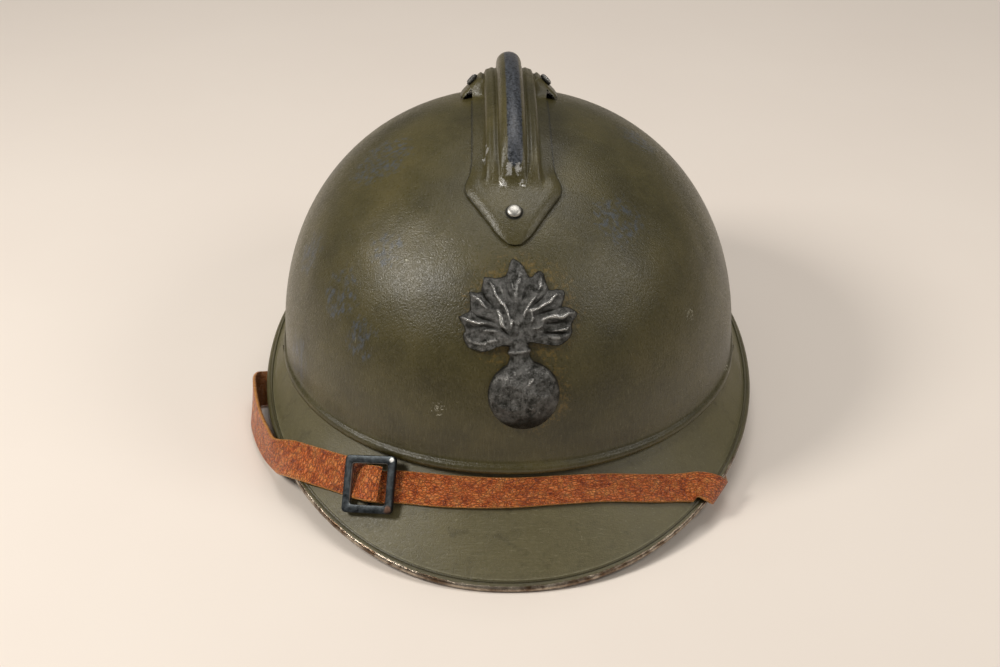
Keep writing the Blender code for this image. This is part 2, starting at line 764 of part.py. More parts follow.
def on_brim(turn, share, lift, width=1.0):
    """A knot of a strap's path that lies over the brim, with its outward normal and width share."""
    return brim_point(turn, share, lift), brim_normal(turn, share), width, None


def in_buckle(along, rise, shift, width, low, high):
    """A knot of a strap's path in the buckle: along is a share of half its length."""
    turn = BUCKLE_TURN + along * BUCKLE_HALF_TURN
    share = BUCKLE_SHARE - along * BUCKLE_SLOPE - shift
    return on_brim(turn, share, mix(low, high, rise), width)


def spline(knots, step):
    """Points, normals and widths on a smooth curve through the knots, close together in its bends."""
    reach = [0.0]
    for a, b in zip(knots, knots[1:]):
        reach.append(reach[-1] + (b[0] - a[0]).length)
    last = len(knots) - 1
    stations = []
    for i in range(last):
        span = reach[i + 1] - reach[i]
        count = max(2, math.ceil(span / step))
        for n in range(count + (i == last - 1)):
            s = n / count
            values = []
            for k in range(3):
                a, b = knots[i][k], knots[i + 1][k]
                low, high = max(i - 1, 0), min(i + 2, last)
                leave = (b - knots[low][k]) * (span / (reach[i + 1] - reach[low]))
                arrive = (knots[high][k] - a) * (span / (reach[high] - reach[i]))
                values.append(
                    a * (2 * s**3 - 3 * s**2 + 1) + leave * (s**3 - 2 * s**2 + s)
                    + b * (3 * s**2 - 2 * s**3) + arrive * (s**3 - s**2)
                )
            stations.append(values)
    return stations


def strap_loops(knots, width):
    """Six-sided sections along a strap; a knot holds its point, outer normal, width share and ruling."""
    ruled = []
    for i, (point, normal, share, ruling) in enumerate(knots):
        if ruling is None:
            along = knots[min(i + 1, len(knots) - 1)][0] - knots[max(i - 1, 0)][0]
            ruling = normal.cross(along).normalized()
        ruled.append((point, ruling, share))
    path = spline(ruled, STRAP_STEP)
    loops = []
    for i, (point, ruling, share) in enumerate(path):
        tangent = path[min(i + 1, len(path) - 1)][0] - path[max(i - 1, 0)][0]
        rise = tangent.cross(ruling).normalized() * LEATHER / 2
        across = ruling.normalized() * width * share / 2
        edge = across * (1 - 0.25 * LEATHER / width)
        loops.append([point + edge + rise, point + across, point + edge - rise,
                      point - edge - rise, point - across, point - edge + rise])
    return loops


def outside_brim(turn, out, height, lean_out, lean_back):
    """A knot beside the brim, whose distance and height are shares of the strap's bulge and width."""
    edge = oval(turn, BRIM_WIDTH / 2, BRIM_LENGTH / 2, BRIM_LENGTH / 2, BRIM_POWER)
    outward = Vector((edge.x, edge.y, 0.0)).normalized()
    point = edge + outward * (STRAP_BULGE - LEATHER / 2) * out
    point.z = WIDE_STRAP * height
    return point, outward, 1.0, Vector((lean_out, -lean_back, -1.0)).normalized()


def ring_frame(side):
    """Middle of a ring's bar, the way its strap pulls, its bar's direction and the way into the bowl."""
    turn, step = side * RING_TURN, math.radians(1.0)
    base = base_point(turn)
    round_it = base_point(turn + step) - base_point(turn - step)
    inward = Vector((-round_it.y, round_it.x, 0.0)).normalized()
    pull_turn = LEFT_PULL if side < 0 else RIGHT_PULL
    level = Z_AXIS.cross(inward) * side
    pull = level * math.cos(pull_turn) - Z_AXIS * math.sin(pull_turn)
    rise = (RING_HEIGHT + RING_PLATE_HIGH - base.z) / (BOWL_TOP - base.z)
    ring = (1 - rise**RISE_POWER) ** (1 / ROUND_POWER)
    seat = Vector((base.x * ring, base.y * ring, RING_HEIGHT)) + inward * (BOWL_WALL + RING_STAND + RING_WIRE)
    bar = seat + pull * RING_DROP + inward * RING_PLATE
    return bar, pull, pull.cross(inward), inward


def at_ring(side, away, along_pull, turn_in=0.0):
    """A knot on the ring's outer side: how far behind the bar, and how far down the pull as a share."""
    bar, pull, _, inward = ring_frame(side)
    behind = RING_WIRE / 2 + GAP + LEATHER / 2
    point = bar + pull * (along_pull * RING_DROP) - inward * behind * away
    return point, (inward - Z_AXIS * turn_in).normalized(), 1.0, None


def make_left_strap(finish):
    lying, _, _, top = strap_heights()
    knots = [in_buckle(*row, lying, top) for row in LEFT_TUCK]
    knots += [on_brim(math.radians(turn), share, lying + lift * LEATHER) for turn, share, lift in LEFT_OVER]
    knots += [outside_brim(math.radians(row[0]), *row[1:]) for row in OUTER_STRAP]
    for out, forward, height, lean in LEFT_UNDER:
        point = Vector((-out * BRIM_WIDTH / 2, -forward * WIDE_STRAP, height * WIDE_STRAP))
        knots.append((point, -Z_AXIS, 1.0, Vector((0.0, lean, -1.0)).normalized()))
    knots += [at_ring(-1, 0.9, 0.62, 0.15), at_ring(-1, 1.0, 0.23), at_ring(-1, 1.0, -0.15)]
    return add_object("strap_left", *tube_solid(strap_loops(knots, WIDE_STRAP), closed=False), finish)


def make_right_strap(finish):
    lying, _, over, _ = strap_heights()
    knots = [in_buckle(*row, lying, over) for row in RIGHT_TUCK]
    knots += [on_brim(math.radians(turn), share, lying, width) for turn, share, width in RIGHT_STRAP]
    clear = BINDING_RADIUS + GAP + LEATHER / 2 + FOLD_SLACK
    for turn, out, up in RIGHT_FOLD:
        way, step = math.radians(turn), math.radians(1.0)
        _, edge, along, upward = brim_frame(way)
        tangent = (brim_frame(way + step)[1] - brim_frame(way - step)[1]).normalized()
        knots.append((edge + (along * out + upward * up) * clear, along, FOLD_WIDTH, tangent))
    for turn, share, drop in RIGHT_UNDER:
        point, normal, width, _ = on_brim(math.radians(turn), share, -drop * LEATHER)
        knots.append((point, -normal, width, None))
    knots += [at_ring(1, 0.9, 1.0, 0.25), at_ring(1, 1.0, 0.31), at_ring(1, 1.0, -0.15)]
    return add_object("strap_right", *tube_solid(strap_loops(knots, NARROW_STRAP), closed=False), finish)


def rounded_rectangle(length, breadth, corner):
    points = []
    for quarter, (side_x, side_y) in enumerate(((1, 1), (-1, 1), (-1, -1), (1, -1))):
        for step in range(CORNER_STEPS):
            angle = math.pi / 2 * (quarter + step / (CORNER_STEPS - 1))
            x = side_x * (length / 2 - corner) + corner * math.cos(angle)
            y = side_y * (breadth / 2 - corner) + corner * math.sin(angle)
            points.append((x, y))
    return points


def frame_loops(matrix, length, breadth, corner, bar, thick):
    """A bar of eight-sided section bent into a rounded rectangle."""
    loops = []
    outer = rounded_rectangle(length, breadth, corner)
    inner = rounded_rectangle(length - 2 * bar, breadth - 2 * bar, max(corner - bar, 0.3 * bar))
    soft = 0.28
    for (ox, oy), (ix, iy) in zip(outer, inner):
        loop = []
        for share, height in ((0, -1 + 2 * soft), (0, 1 - 2 * soft), (soft, 1), (1 - soft, 1), (1, 1 - 2 * soft),
                              (1, -1 + 2 * soft), (1 - soft, -1), (soft, -1)):
            loop.append(matrix @ Vector((mix(ox, ix, share), mix(oy, iy, share), height * thick / 2)))
        loops.append(loop)
    return loops


def buckle_lift():
    """Height of the frame's middle over the sheet's middle."""
    return strap_heights()[0] + LEATHER / 2 + GAP + BUCKLE_THICK / 2 + BUCKLE_STAND


def buckle_matrix():
    """The buckle's own axes: x along the strap, y towards the bowl, z away from the visor."""
    up = brim_normal(BUCKLE_TURN, BUCKLE_SHARE)
    level = Z_AXIS.cross(up).normalized()
    x_axis = level * math.cos(BUCKLE_TWIST) + up.cross(level) * math.sin(BUCKLE_TWIST)
    y_axis = up.cross(x_axis)
    tilt = Matrix.Rotation(BUCKLE_TILT, 3, x_axis)
    y_axis, z_axis = tilt @ y_axis, tilt @ up
    turn = Matrix((x_axis, y_axis, z_axis)).transposed().to_4x4()
    middle = brim_point(BUCKLE_TURN, BUCKLE_SHARE) + up * buckle_lift()
    return Matrix.Translation(middle) @ turn


def make_buckle(finish):
    place = buckle_matrix()
    loops = frame_loops(place, BUCKLE_LENGTH, BUCKLE_BREADTH, BUCKLE_CORNER, BUCKLE_BAR, BUCKLE_THICK)
    buckle = add_object("buckle", *tube_solid(loops, closed=True), finish)
    drop = strap_heights()[1] - buckle_lift()
    half = BUCKLE_BREADTH / 2 - BUCKLE_BAR / 2
    bend = half - BUCKLE_BAR / 2 - CENTRE_BAR_BEND
    lean = bend * math.tan(BUCKLE_TILT)
    rounds = []
    for y, z in ((-half, 0.0), (-bend, drop + lean), (bend, drop - lean), (half, 0.0)):
        ring = []
        for i in range(8):
            angle = 2 * math.pi * i / 8
            ring.append(place @ Vector((CENTRE_BAR / 2 * math.cos(angle), y, z + CENTRE_BAR / 2 * math.sin(angle))))
        rounds.append(ring)
    boolean(buckle, add_object("buckle_centre_bar", *tube_solid(rounds, closed=False)), "UNION")
    return buckle


def make_ring(side, finish):
    """A wire loop whose upper side is held by a small plate against the bowl's wall."""
    bar, pull, bar_way, inward = ring_frame(side)
    breadth = WIDE_STRAP + 2 * GAP + 2 * RING_WIRE
    top = bar - pull * RING_DROP - inward * RING_PLATE
    lean = (bar - top).normalized()
    face = lean.cross(bar_way).normalized()
    turn = Matrix((lean, bar_way, face)).transposed().to_4x4()
    place = Matrix.Translation((bar + top) / 2) @ turn
    loops = frame_loops(place, RING_DROP + RING_WIRE, breadth, RING_CORNER, RING_WIRE, RING_WIRE)
    name = "ring_left" if side < 0 else "ring_right"
    ring = add_object(name, *tube_solid(loops, closed=True), finish)
    plate = []
    for y in (-1, 1):
        for x, z in ((-1, -1), (1, -1), (1, 1), (-1, 1)):
            out = inward * (RING_WIRE - RING_PLATE / 2 - z * RING_PLATE / 2) * -1
            plate.append(top + out + lean * x * RING_PLATE_HIGH / 2 + bar_way * y * RING_PLATE_WIDE / 2)
    boolean(ring, add_object(name + "_plate", *tube_solid([plate[:4], plate[4:]], closed=False)), "UNION")
    return ring


def main():
    for old in list(bpy.data.objects):
        bpy.data.objects.remove(old)
    paint = material("khaki_paint", (0.085, 0.078, 0.042), 0.45, 0.0)
    badge_steel = material("dark_badge_steel", (0.10, 0.10, 0.10), 0.40, 0.8)
    leather = material("brown_leather", (0.36, 0.13, 0.045), 0.55, 0.0)
    buckle_steel = material("blackened_steel", (0.045, 0.05, 0.052), 0.40, 0.8)
    rivet_steel = material("bare_rivet_steel", (0.55, 0.55, 0.52), 0.35, 1.0)
    bowl = make_bowl(paint)
    make_visor(paint)
    make_neck_guard(paint)
    make_binding(paint)
    crest = make_crest(paint)
    make_rivets(rivet_steel, crest, bowl)
    make_badge(badge_steel)
    make_left_strap(leather)
    make_right_strap(leather)
    make_buckle(buckle_steel)
    for side in (-1, 1):
        make_ring(side, buckle_steel)


main()
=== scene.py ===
import math
from functools import partial

import bmesh
import bpy
import numpy as np
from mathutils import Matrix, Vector, noise


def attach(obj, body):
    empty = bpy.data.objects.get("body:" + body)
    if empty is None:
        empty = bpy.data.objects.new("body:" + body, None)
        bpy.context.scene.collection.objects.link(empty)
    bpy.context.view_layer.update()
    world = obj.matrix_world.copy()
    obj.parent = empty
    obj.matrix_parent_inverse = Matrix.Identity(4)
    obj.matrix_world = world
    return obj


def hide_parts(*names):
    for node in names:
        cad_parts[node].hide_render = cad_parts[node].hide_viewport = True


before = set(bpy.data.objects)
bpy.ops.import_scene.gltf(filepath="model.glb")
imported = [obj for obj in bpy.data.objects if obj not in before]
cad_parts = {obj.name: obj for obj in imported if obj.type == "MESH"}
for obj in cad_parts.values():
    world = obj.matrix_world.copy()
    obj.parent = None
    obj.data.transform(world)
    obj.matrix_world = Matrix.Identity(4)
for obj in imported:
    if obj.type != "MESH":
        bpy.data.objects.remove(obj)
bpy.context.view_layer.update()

# Everything is worked out in millimetres round the helmet's own middle, visor towards -Y,
# and moved over the origin and into metres when a mesh is made.
millimetre = 0.001
overOrigin = np.array([3.1, 0.0, 0.0])  # half of what the strap adds on its side
smallGap = 0.3  # between pieces that touch
fullTurn = 2 * math.pi
mergeWithin = 0.002 * millimetre

print("1 camera, lights and table")

shot = {
    "place": (-0.000675, -0.57638, 0.41521),
    "lookDown": 34.15,  # degrees under the horizon
    "lens": 54.0,
    "sensor": 36.0,
}
studio = {  # name: azimuth from the front towards the right, elevation, distance, size, watts, hex colour
    "leftSoftbox": (-70, 42, 0.98, 0.28, 6.2, "FFFBF5"),
    "rightSoftbox": (72, 40, 0.95, 0.34, 2.0, "FFFBF5"),
    "topSoftbox": (165, 73, 1.35, 0.90, 7.6, "FFFCF9"),
    "frontSoftbox": (38, 26, 1.40, 0.90, 0.8, "FFFBF5"),
}
lampsAim = Vector((0, 0, 0.08))
room = {"colour": "F4F1ED", "strength": 0.18}


def addObject(name, data):
    made = bpy.data.objects.new(name, data)
    bpy.context.scene.collection.objects.link(made)
    return made


def linear(hexColour):  # sRGB hex to the linear values that Blender's sockets take
    channels = [int(hexColour[i:i + 2], 16) / 255 for i in (0, 2, 4)]
    return [c / 12.92 if c <= 0.04045 else ((c + 0.055) / 1.055) ** 2.4 for c in channels]


cameraData = bpy.data.cameras.new("photoCamera")
cameraData.lens = shot["lens"]
cameraData.sensor_width = shot["sensor"]
cameraData.clip_start = 0.01
camera = addObject("photoCamera", cameraData)
camera.location = shot["place"]
camera.rotation_euler = (math.radians(90 - shot["lookDown"]), 0, 0)
bpy.context.scene.camera = camera
bpy.context.scene.view_settings.view_transform = "Standard"

for name, (azimuth, elevation, distance, size, watts, colour) in studio.items():
    lamp = bpy.data.lights.new(name, "AREA")
    lamp.shape = "DISK"
    lamp.size = size
    lamp.energy = watts
    lamp.color = linear(colour)
    softbox = addObject(name, lamp)
    az, el = math.radians(azimuth), math.radians(elevation)
    way = Vector((math.sin(az) * math.cos(el), -math.cos(az) * math.cos(el), math.sin(el)))
    softbox.location = way * distance + lampsAim
    softbox.rotation_euler = way.to_track_quat("Z", "Y").to_euler()

world = bpy.data.worlds.new("paleRoom")
world.use_nodes = True
backdrop = world.node_tree.nodes["Background"]
backdrop.inputs["Color"].default_value = (*linear(room["colour"]), 1)
backdrop.inputs["Strength"].default_value = room["strength"]
bpy.context.scene.world = world

print("2 node and mesh helpers")

nodeKinds = {  # word: Blender's node, its settings and the inputs that the values fill in turn
    "range": ("ShaderNodeMapRange", {}, range(5)),
    "softRange": ("ShaderNodeMapRange", {"interpolation_type": "SMOOTHSTEP"}, range(5)),
    "mixColours": ("ShaderNodeMix", {"data_type": "RGBA"}, (0, 6, 7)),
    "mixNumbers": ("ShaderNodeMix", {"data_type": "FLOAT"}, (0, 2, 3)),
    "mixVectors": ("ShaderNodeMix", {"data_type": "VECTOR"}, (0, 4, 5)),
    "noise": ("ShaderNodeTexNoise", {}, ("Vector", "Scale", "Detail", "Roughness")),
    "cells": ("ShaderNodeTexVoronoi", {"feature": "DISTANCE_TO_EDGE"}, ("Vector", "Scale")),
    "mapping": ("ShaderNodeMapping", {}, ("Vector", "Scale")),
    "bump": ("ShaderNodeBump", {}, ("Strength", "Distance", "Height")),
    "ramp": ("ShaderNodeValToRGB", {}, ("Fac",)),
    "coordinates": ("ShaderNodeTexCoord", {}, ()),
    "attribute": ("ShaderNodeAttribute", {}, ()),
    "split": ("ShaderNodeSeparateXYZ", {}, (0,)),
    "join": ("ShaderNodeCombineXYZ", {}, range(3)),
    "clamp": ("ShaderNodeClamp", {}, ("Value",)),
    "distance": ("ShaderNodeVectorMath", {"operation": "DISTANCE"}, (0, 1)),
    "scaled": ("ShaderNodeVectorMath", {"operation": "SCALE"}, (0, "Scale")),
    "together": ("ShaderNodeVectorMath", {"operation": "ADD"}, (0, 1)),
    "vectorMath": ("ShaderNodeVectorMath", {}, range(3)),
    "grid": ("GeometryNodeMeshGrid", {}, ("Size X", "Size Y", "Vertices X", "Vertices Y")),
    "position": ("GeometryNodeInputPosition", {}, ()),
    "object": ("GeometryNodeObjectInfo", {"transform_space": "ORIGINAL"}, ("Object",)),
    "carried": ("GeometryNodeInputNamedAttribute", {}, ("Name",)),
    "sample": ("GeometryNodeSampleIndex", {}, ("Geometry", "Value", "Index")),
    "store": ("GeometryNodeStoreNamedAttribute", {"domain": "POINT"}, ("Geometry", "Name", "Value")),
    "setPosition": ("GeometryNodeSetPosition", {}, ("Geometry", "Position")),
    "merge": ("GeometryNodeMergeByDistance", {}, ("Geometry", "Distance")),
    "instances": ("GeometryNodeInstanceOnPoints", {}, ("Points", "Instance", "Rotation", "Scale")),
    "alignZ": ("FunctionNodeAlignRotationToVector", {"axis": "Z"}, ("Vector",)),
    "realize": ("GeometryNodeRealizeInstances", {}, ("Geometry",)),
    "setMaterial": ("GeometryNodeSetMaterial", {}, ("Geometry", "Material")),
    "output": ("NodeGroupOutput", {}, (0,)),
}


def connect(tree, node, values):
    # a value may be a node, whose first open output is taken, a socket, a hex colour or a plain value
    for key, value in values.items():
        if isinstance(value, bpy.types.Node):
            value = next(out for out in value.outputs if out.enabled)
        if isinstance(value, bpy.types.NodeSocket):
            tree.links.new(value, node.inputs[key])
        elif isinstance(value, str) and node.inputs[key].type == "RGBA":
            node.inputs[key].default_value = (*linear(value), 1)
        else:
            node.inputs[key].default_value = value


def addNode(tree, kind, *values, **settings):  # kind is a word of nodeKinds or the operation of a Math node
    blenderName, always, inputs = nodeKinds.get(kind, ("ShaderNodeMath", {"operation": kind}, range(3)))
    node = tree.nodes.new(blenderName)
    for key, value in {**always, **settings}.items():
        setattr(node, key, value)
    connect(tree, node, dict(zip(inputs, values)))
    return node


def newMaterial(name):
    finish = bpy.data.materials.new(name)
    finish.use_nodes = True
    return finish, partial(addNode, finish.node_tree)


def setShader(finish, values):
    connect(finish.node_tree, finish.node_tree.nodes["Principled BSDF"], values)
    return finish


def newTree(name, inputs):
    tree = bpy.data.node_groups.new(name, "GeometryNodeTree")
    for label, kind, value in [("Geometry", "Geometry", None), *inputs]:
        socket = tree.interface.new_socket(name=label, in_out="INPUT", socket_type="NodeSocket" + kind)
        if value is not None:
            socket.default_value = value
    tree.interface.new_socket(name="Geometry", in_out="OUTPUT", socket_type="NodeSocketGeometry")
    return tree, tree.nodes.new("NodeGroupInput").outputs, partial(addNode, tree)


def endTree(add, geometry, finish):  # every tree ends the same way
    add("output", add("setMaterial", add("realize", geometry), finish))


def gridOf(add, columns, rows):  # a flat grid, and the column and row that each of its points is on
    flat = add("split", add("position"))
    column, row = (add("ROUND", add("MULTIPLY", add("ADD", flat.outputs[axis], 0.5), count))
                   for axis, count in (("X", columns), ("Y", rows)))
    return add("grid", 1.0, 1.0, add("ADD", columns, 1.0), add("ADD", rows, 1.0)), column, row


def applyModifiers(piece):
    seen = piece.evaluated_get(bpy.context.evaluated_depsgraph_get())
    mesh = bpy.data.meshes.new_from_object(seen)
    piece.modifiers.clear()
    piece.data = mesh
    return piece


def grow(name, base, tree, values):
    # runs a tree on a base mesh and keeps what it makes as a plain mesh
    holder = addObject(name, base)
    modifier = holder.modifiers.new("grow", "NODES")
    modifier.node_group = tree
    for item in tree.interface.items_tree:
        if item.item_type == "SOCKET" and item.in_out == "INPUT" and item.name in values:
            modifier[item.identifier] = values[item.name]
    return applyModifiers(holder)


def asMetres(points):
    return (np.asarray(points, float) + overOrigin) * millimetre


def asMillimetres(vertex):  # back to the helmet's own middle
    return np.array(vertex.co) / millimetre - overOrigin


def makePiece(name, points, faces, finish):
    mesh = bpy.data.meshes.new(name)
    mesh.from_pydata(asMetres(points).tolist(), [], faces)
    mesh.materials.append(finish)
    return addObject(name, mesh)


def setNumbers(mesh, label, values, kind="FLOAT", field="value"):
    data = mesh.attributes.new(label, kind, "POINT").data
    data.foreach_set(field, np.asarray(values, np.float32).ravel())


def setSheet(piece, label, top, below):  # numbers over a sheet's upper grid, and one number for its lower grid
    setNumbers(piece.data, label, np.concatenate([np.ravel(top), np.full(np.size(top), below)]))


def shadeSmooth(piece, sharp):  # sharp is the angle in degrees past which an edge stays sharp
    piece.data.shade_smooth()
    piece.data.set_sharp_from_angle(angle=math.radians(sharp))
    return piece


def tidyMesh(piece, sharp=35, outwards=True):
    # merges doubles, closes any open end and turns the faces outwards
    shape = bmesh.new()
    shape.from_mesh(piece.data)
    bmesh.ops.remove_doubles(shape, verts=shape.verts, dist=mergeWithin)
    bmesh.ops.dissolve_degenerate(shape, edges=shape.edges, dist=mergeWithin / 4)
    bmesh.ops.holes_fill(shape, edges=[edge for edge in shape.edges if edge.is_boundary], sides=0)
    if outwards:
        bmesh.ops.recalc_face_normals(shape, faces=shape.faces)
    shape.to_mesh(piece.data)
    shape.free()
    return shadeSmooth(piece, sharp)


def handOver(piece, slotName, *nodes):
    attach(piece, "root")
    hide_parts(*nodes)


def joinPieces(pieces, name):
    shape = bmesh.new()
    for piece in pieces:
        shape.from_mesh(piece.data)
    shape.to_mesh(pieces[0].data)
    shape.free()
    for piece in pieces[1:]:
        bpy.data.objects.remove(piece)
    pieces[0].name = name
    return pieces[0]


print("3 shape of the pressed steel")

steel = {  # mm; a power says how square an oval is
    "brimLength": 292.2, "brimWidth": 222.0, "brimPower": 2.088, "brimLift": 13.3, "liftPower": 2.33,
    "wornFlat": 0.4, "sheet": 0.9, "sag": 0.8, "tongue": math.radians(6),
    "bowlWidth": 202.9, "bowlFront": 109.6, "bowlRear": 115.1, "bowlPower": 2.045, "bowlTop": 132.5,
    "baseSide": 30.0, "baseEnds": 32.9, "risePower": 2.256, "roundPower": 2.139, "wall": 0.9,
    "beadRadius": 2.2, "beadSideRadius": 1.0, "beadDrop": 1.5,
    "beadThinTo": 0.10, "beadGrows": 0.35,  # cosines of the turn from the front
    "bindingWidth": 4.5, "bindingWall": 0.6, "bindingRadius": 1.6,
}
sideJoint = math.pi * 20 / 45  # where the visor ends and the neck guard starts
beadOut = 0.25  # the bead's middle lies this share of its radius outside the bowl's base


def unit(vectors):
    return vectors / np.maximum(np.linalg.norm(vectors, axis=-1, keepdims=True), 1e-12)


def mix(a, b, share):
    return a + (b - a) * share


def smooth(value):
    value = np.clip(value, 0.0, 1.0)
    return value * value * (3 - 2 * value)


def alongPath(points):  # distance of each point from the first, along the path
    return np.concatenate([[0.0], np.cumsum(np.linalg.norm(np.diff(points, axis=0), axis=1))])


def upFrom(along, outward):  # square to the first way, in the upright plane that both lie in
    return np.stack([-along[..., 2] * outward[..., 0], -along[..., 2] * outward[..., 1],
                     np.sum(along * outward, axis=-1)], axis=-1)


def oval(turn, halfWidth, front, rear, power):  # turn 0 is the front, a quarter turn is +X
    s, c = np.sin(turn), np.cos(turn)
    size = (np.abs(s) ** power + np.abs(c) ** power) ** (-1 / power)
    return np.stack([halfWidth * size * s, -np.where(c > 0, front, rear) * size * c, 0 * s], axis=-1)


def basePoint(turn):  # on the line where the bowl meets its bead
    point = oval(turn, steel["bowlWidth"] / 2, steel["bowlFront"], steel["bowlRear"], steel["bowlPower"])
    reach = np.where(point[..., 1] < 0, steel["bowlFront"], steel["bowlRear"])
    point[..., 2] = mix(steel["baseSide"], steel["baseEnds"], (point[..., 1] / reach) ** 2)
    return point


def bowlHeight(x, y):
    across = np.abs(x) / (steel["bowlWidth"] / 2)
    along = np.abs(y) / np.where(y < 0, steel["bowlFront"], steel["bowlRear"])
    power = steel["bowlPower"]
    ring = (across ** power + along ** power) ** (1 / power)
    base = mix(steel["baseSide"], steel["baseEnds"], (along / np.maximum(ring, 1e-9)) ** 2)
    inside = np.clip(1 - ring ** steel["roundPower"], 0.0, 1.0)
    return mix(base, steel["bowlTop"], inside ** (1 / steel["risePower"]))


def bowlNormal(x, y):
    step = 0.05
    slopeX = (bowlHeight(x + step, y) - bowlHeight(x - step, y)) / (2 * step)
    slopeY = (bowlHeight(x, y + step) - bowlHeight(x, y - step)) / (2 * step)
    return unit(np.stack([-slopeX, -slopeY, 1 + 0 * slopeX], axis=-1))


def overBowl(x, y, lift):  # a point at a height square over the bowl's skin
    x, y, lift = np.broadcast_arrays(np.asarray(x, float), np.asarray(y, float), np.asarray(lift, float))
    return np.stack([x, y, bowlHeight(x, y)], axis=-1) + bowlNormal(x, y) * lift[..., None]


def beadRadius(turn):  # thin at the sides, full to the front and the rear
    share = smooth((np.abs(np.cos(turn)) - steel["beadThinTo"]) / steel["beadGrows"])
    return mix(steel["beadSideRadius"], steel["beadRadius"], share)


def brimFrame(turn):  # start and end of the brim's middle line, with its ways outwards and upwards
    base = basePoint(turn)
    half = steel["brimLength"] / 2
    edge = oval(turn, steel["brimWidth"] / 2, half, half, steel["brimPower"])
    lift = steel["brimLift"] * (1 - np.abs(edge[..., 1] / half) ** steel["liftPower"])
    flat = edge - base
    flat[..., 2] = 0
    outward = unit(flat)
    edge = edge - outward * steel["bindingRadius"]
    edge[..., 2] = steel["bindingRadius"] - steel["wornFlat"] + lift
    radius = beadRadius(turn)[..., None]
    bead = base + outward * radius * beadOut
    bead[..., 2] += radius[..., 0] - steel["beadDrop"]
    start = bead
    for _ in range(3):  # the sheet starts under the bead, square to its own slope
        along = unit(edge - start)
        upward = upFrom(along, outward)
        start = bead - upward * (radius + smallGap + steel["sheet"] / 2)
    return start, edge, along, upward


def brimPoint(turn, share, lift=0.0):  # share is 0 at the bead and 1 at the edge
    turn, share, lift = np.broadcast_arrays(*(np.asarray(value, float) for value in (turn, share, lift)))
    start, edge, _, upward = brimFrame(turn)
    sag = steel["sag"] * 4 * share * (1 - share)
    return start + (edge - start) * share[..., None] + upward * (lift - sag)[..., None]


def brimNormal(turn, share):
    step = 0.01
    along = brimPoint(turn, share + step) - brimPoint(turn, share - step)
    roundIt = brimPoint(turn + step, share) - brimPoint(turn - step, share)
    return unit(np.cross(along, roundIt))


def gridSheet(top, bottom, wrap=False):  # points and closed faces of a sheet with a grid for each side
    rows, columns = top.shape[:2]
    points = np.concatenate([top.reshape(-1, 3), bottom.reshape(-1, 3)])
    under, faces = rows * columns, []
    spans = columns if wrap else columns - 1
    for i in range(rows - 1):
        for j in range(spans):
            a, b = i * columns + j, i * columns + (j + 1) % columns
            faces.append((a, b, b + columns, a + columns))
            faces.append((under + a + columns, under + b + columns, under + b, under + a))
    for i in (0, rows - 1):
        for j in range(spans):
            a, b = i * columns + j, i * columns + (j + 1) % columns
            faces.append((a, b, under + b, under + a))
    if not wrap:
        for j in (0, columns - 1):
            for i in range(rows - 1):
                a, b = i * columns + j, (i + 1) * columns + j
                faces.append((a, b, under + b, under + a))
    return points, faces


print("4 paint and metal")

paintLook = {
    "khaki": "443E1F", "khakiLight": "524A28", "khakiDark": "353015", "dust": "716A4B", "pale": "8C876C",
    "blueCoat": "48515E", "chip": "CFCBB8", "ochre": "77612F", "rust": "57422F", "brightSteel": "B5A999",
    # the near-black grime colour also serves as painted shade in the binding's groove, along the crest's and badge's
    # edges and round the front rivet
    "grimeAndShade": "1B1911", "shadowBlue": "212428", "worn": "474B52", "noseSteelAndHighlight": "DEDCD6",
    "roughness": 0.30, "steelRoughness": 0.22, "noseRoughness": 0.24, "grimeRoughness": 0.85,
}
paintMarks = {  # one size in mm, or three along x, y and z, then the noise's detail and roughness
    "mottle": (30.0, 6.0, 0.62), "grain": (1.1, 4.0, 0.65), "specks": (1.7, 5.0, 0.75), "chips": (1.1, 4.0, 0.8),
    "brush": ((0.7, 0.7, 6.0), 3.0, 0.6), "brimBrush": ((12.0, 0.7, 0.7), 3.0, 0.6),  # down the bowl, across the brim
    "fineBrush": ((0.45, 0.45, 3.0), 2.0, 0.5), "strokes": ((2.2, 2.2, 6.5), 6.0, 0.7),
    "longScratch": ((11.0, 0.5, 0.5), 3.0, 0.6), "fineScratch": ((0.9, 4.0, 9.0), 3.0, 0.6),
    "patches": ((7.0, 5.0, 9.0), 5.0, 0.7), "dents": (22.0, 1.0, 0.4), "ragged": (3.4, 7.0, 0.75),
    "alongEdge": (7.0, 6.0, 0.7), "scuffed": (2.0, 6.0, 0.7),
}
blueSpots = [  # where the blue undercoat shows most: place in mm and radius
    ((-51.6, -8.5, 119.0), 30), ((-46.8, -59.5, 105.1), 15), ((-65.8, -62.1, 85.3), 20),
    ((-56.9, -79.3, 74.9), 16), ((60.6, 14.2, 116.9), 20), ((47.7, -50.1, 113.5), 22),
    ((-80, -30, 85), 20), ((30, 80, 100), 26), ((-70, 55, 70), 26), ((85, 30, 70), 22), ((-86, -50, 45), 22),
]
chipSpots = [  # where pale chips lie
    ((-25.2, -102.8, 58.4), 6.5), ((-37.2, -68.3, 104.8), 4.0), ((77.3, -62.7, 76.0), 6.0), ((96.0, -96.0, 14.0), 7.0),
    # the spots at (-32, -110, 30) and (-20, -114, 30) on the front of the bead lay pale chips where it catches the
    # light: worn paint and painted highlight
    ((-8.0, -32.0, 139.0), 5.0), ((100, -40, 34), 8), ((-32.0, -110.0, 30.0), 10), ((-20.0, -114.0, 30.0), 10),
    ((74.0, -68.0, 26.0), 9)]
grimeSpots = [((11.5, -104.0, 66.5), 27), ((8.0, -92.0, 96.0), 40)]  # round the badge


def nearSpots(add, place, spots):  # 1 at the middle of the nearest spot, falling to 0 at its radius
    total = None
    for middle, radius in spots:
        apart = add("distance", place, tuple(part * millimetre for part in middle))
        fall = add("softRange", apart, radius * millimetre, 0.2 * radius * millimetre)
        total = fall if total is None else add("MAXIMUM", total, fall)
    return total


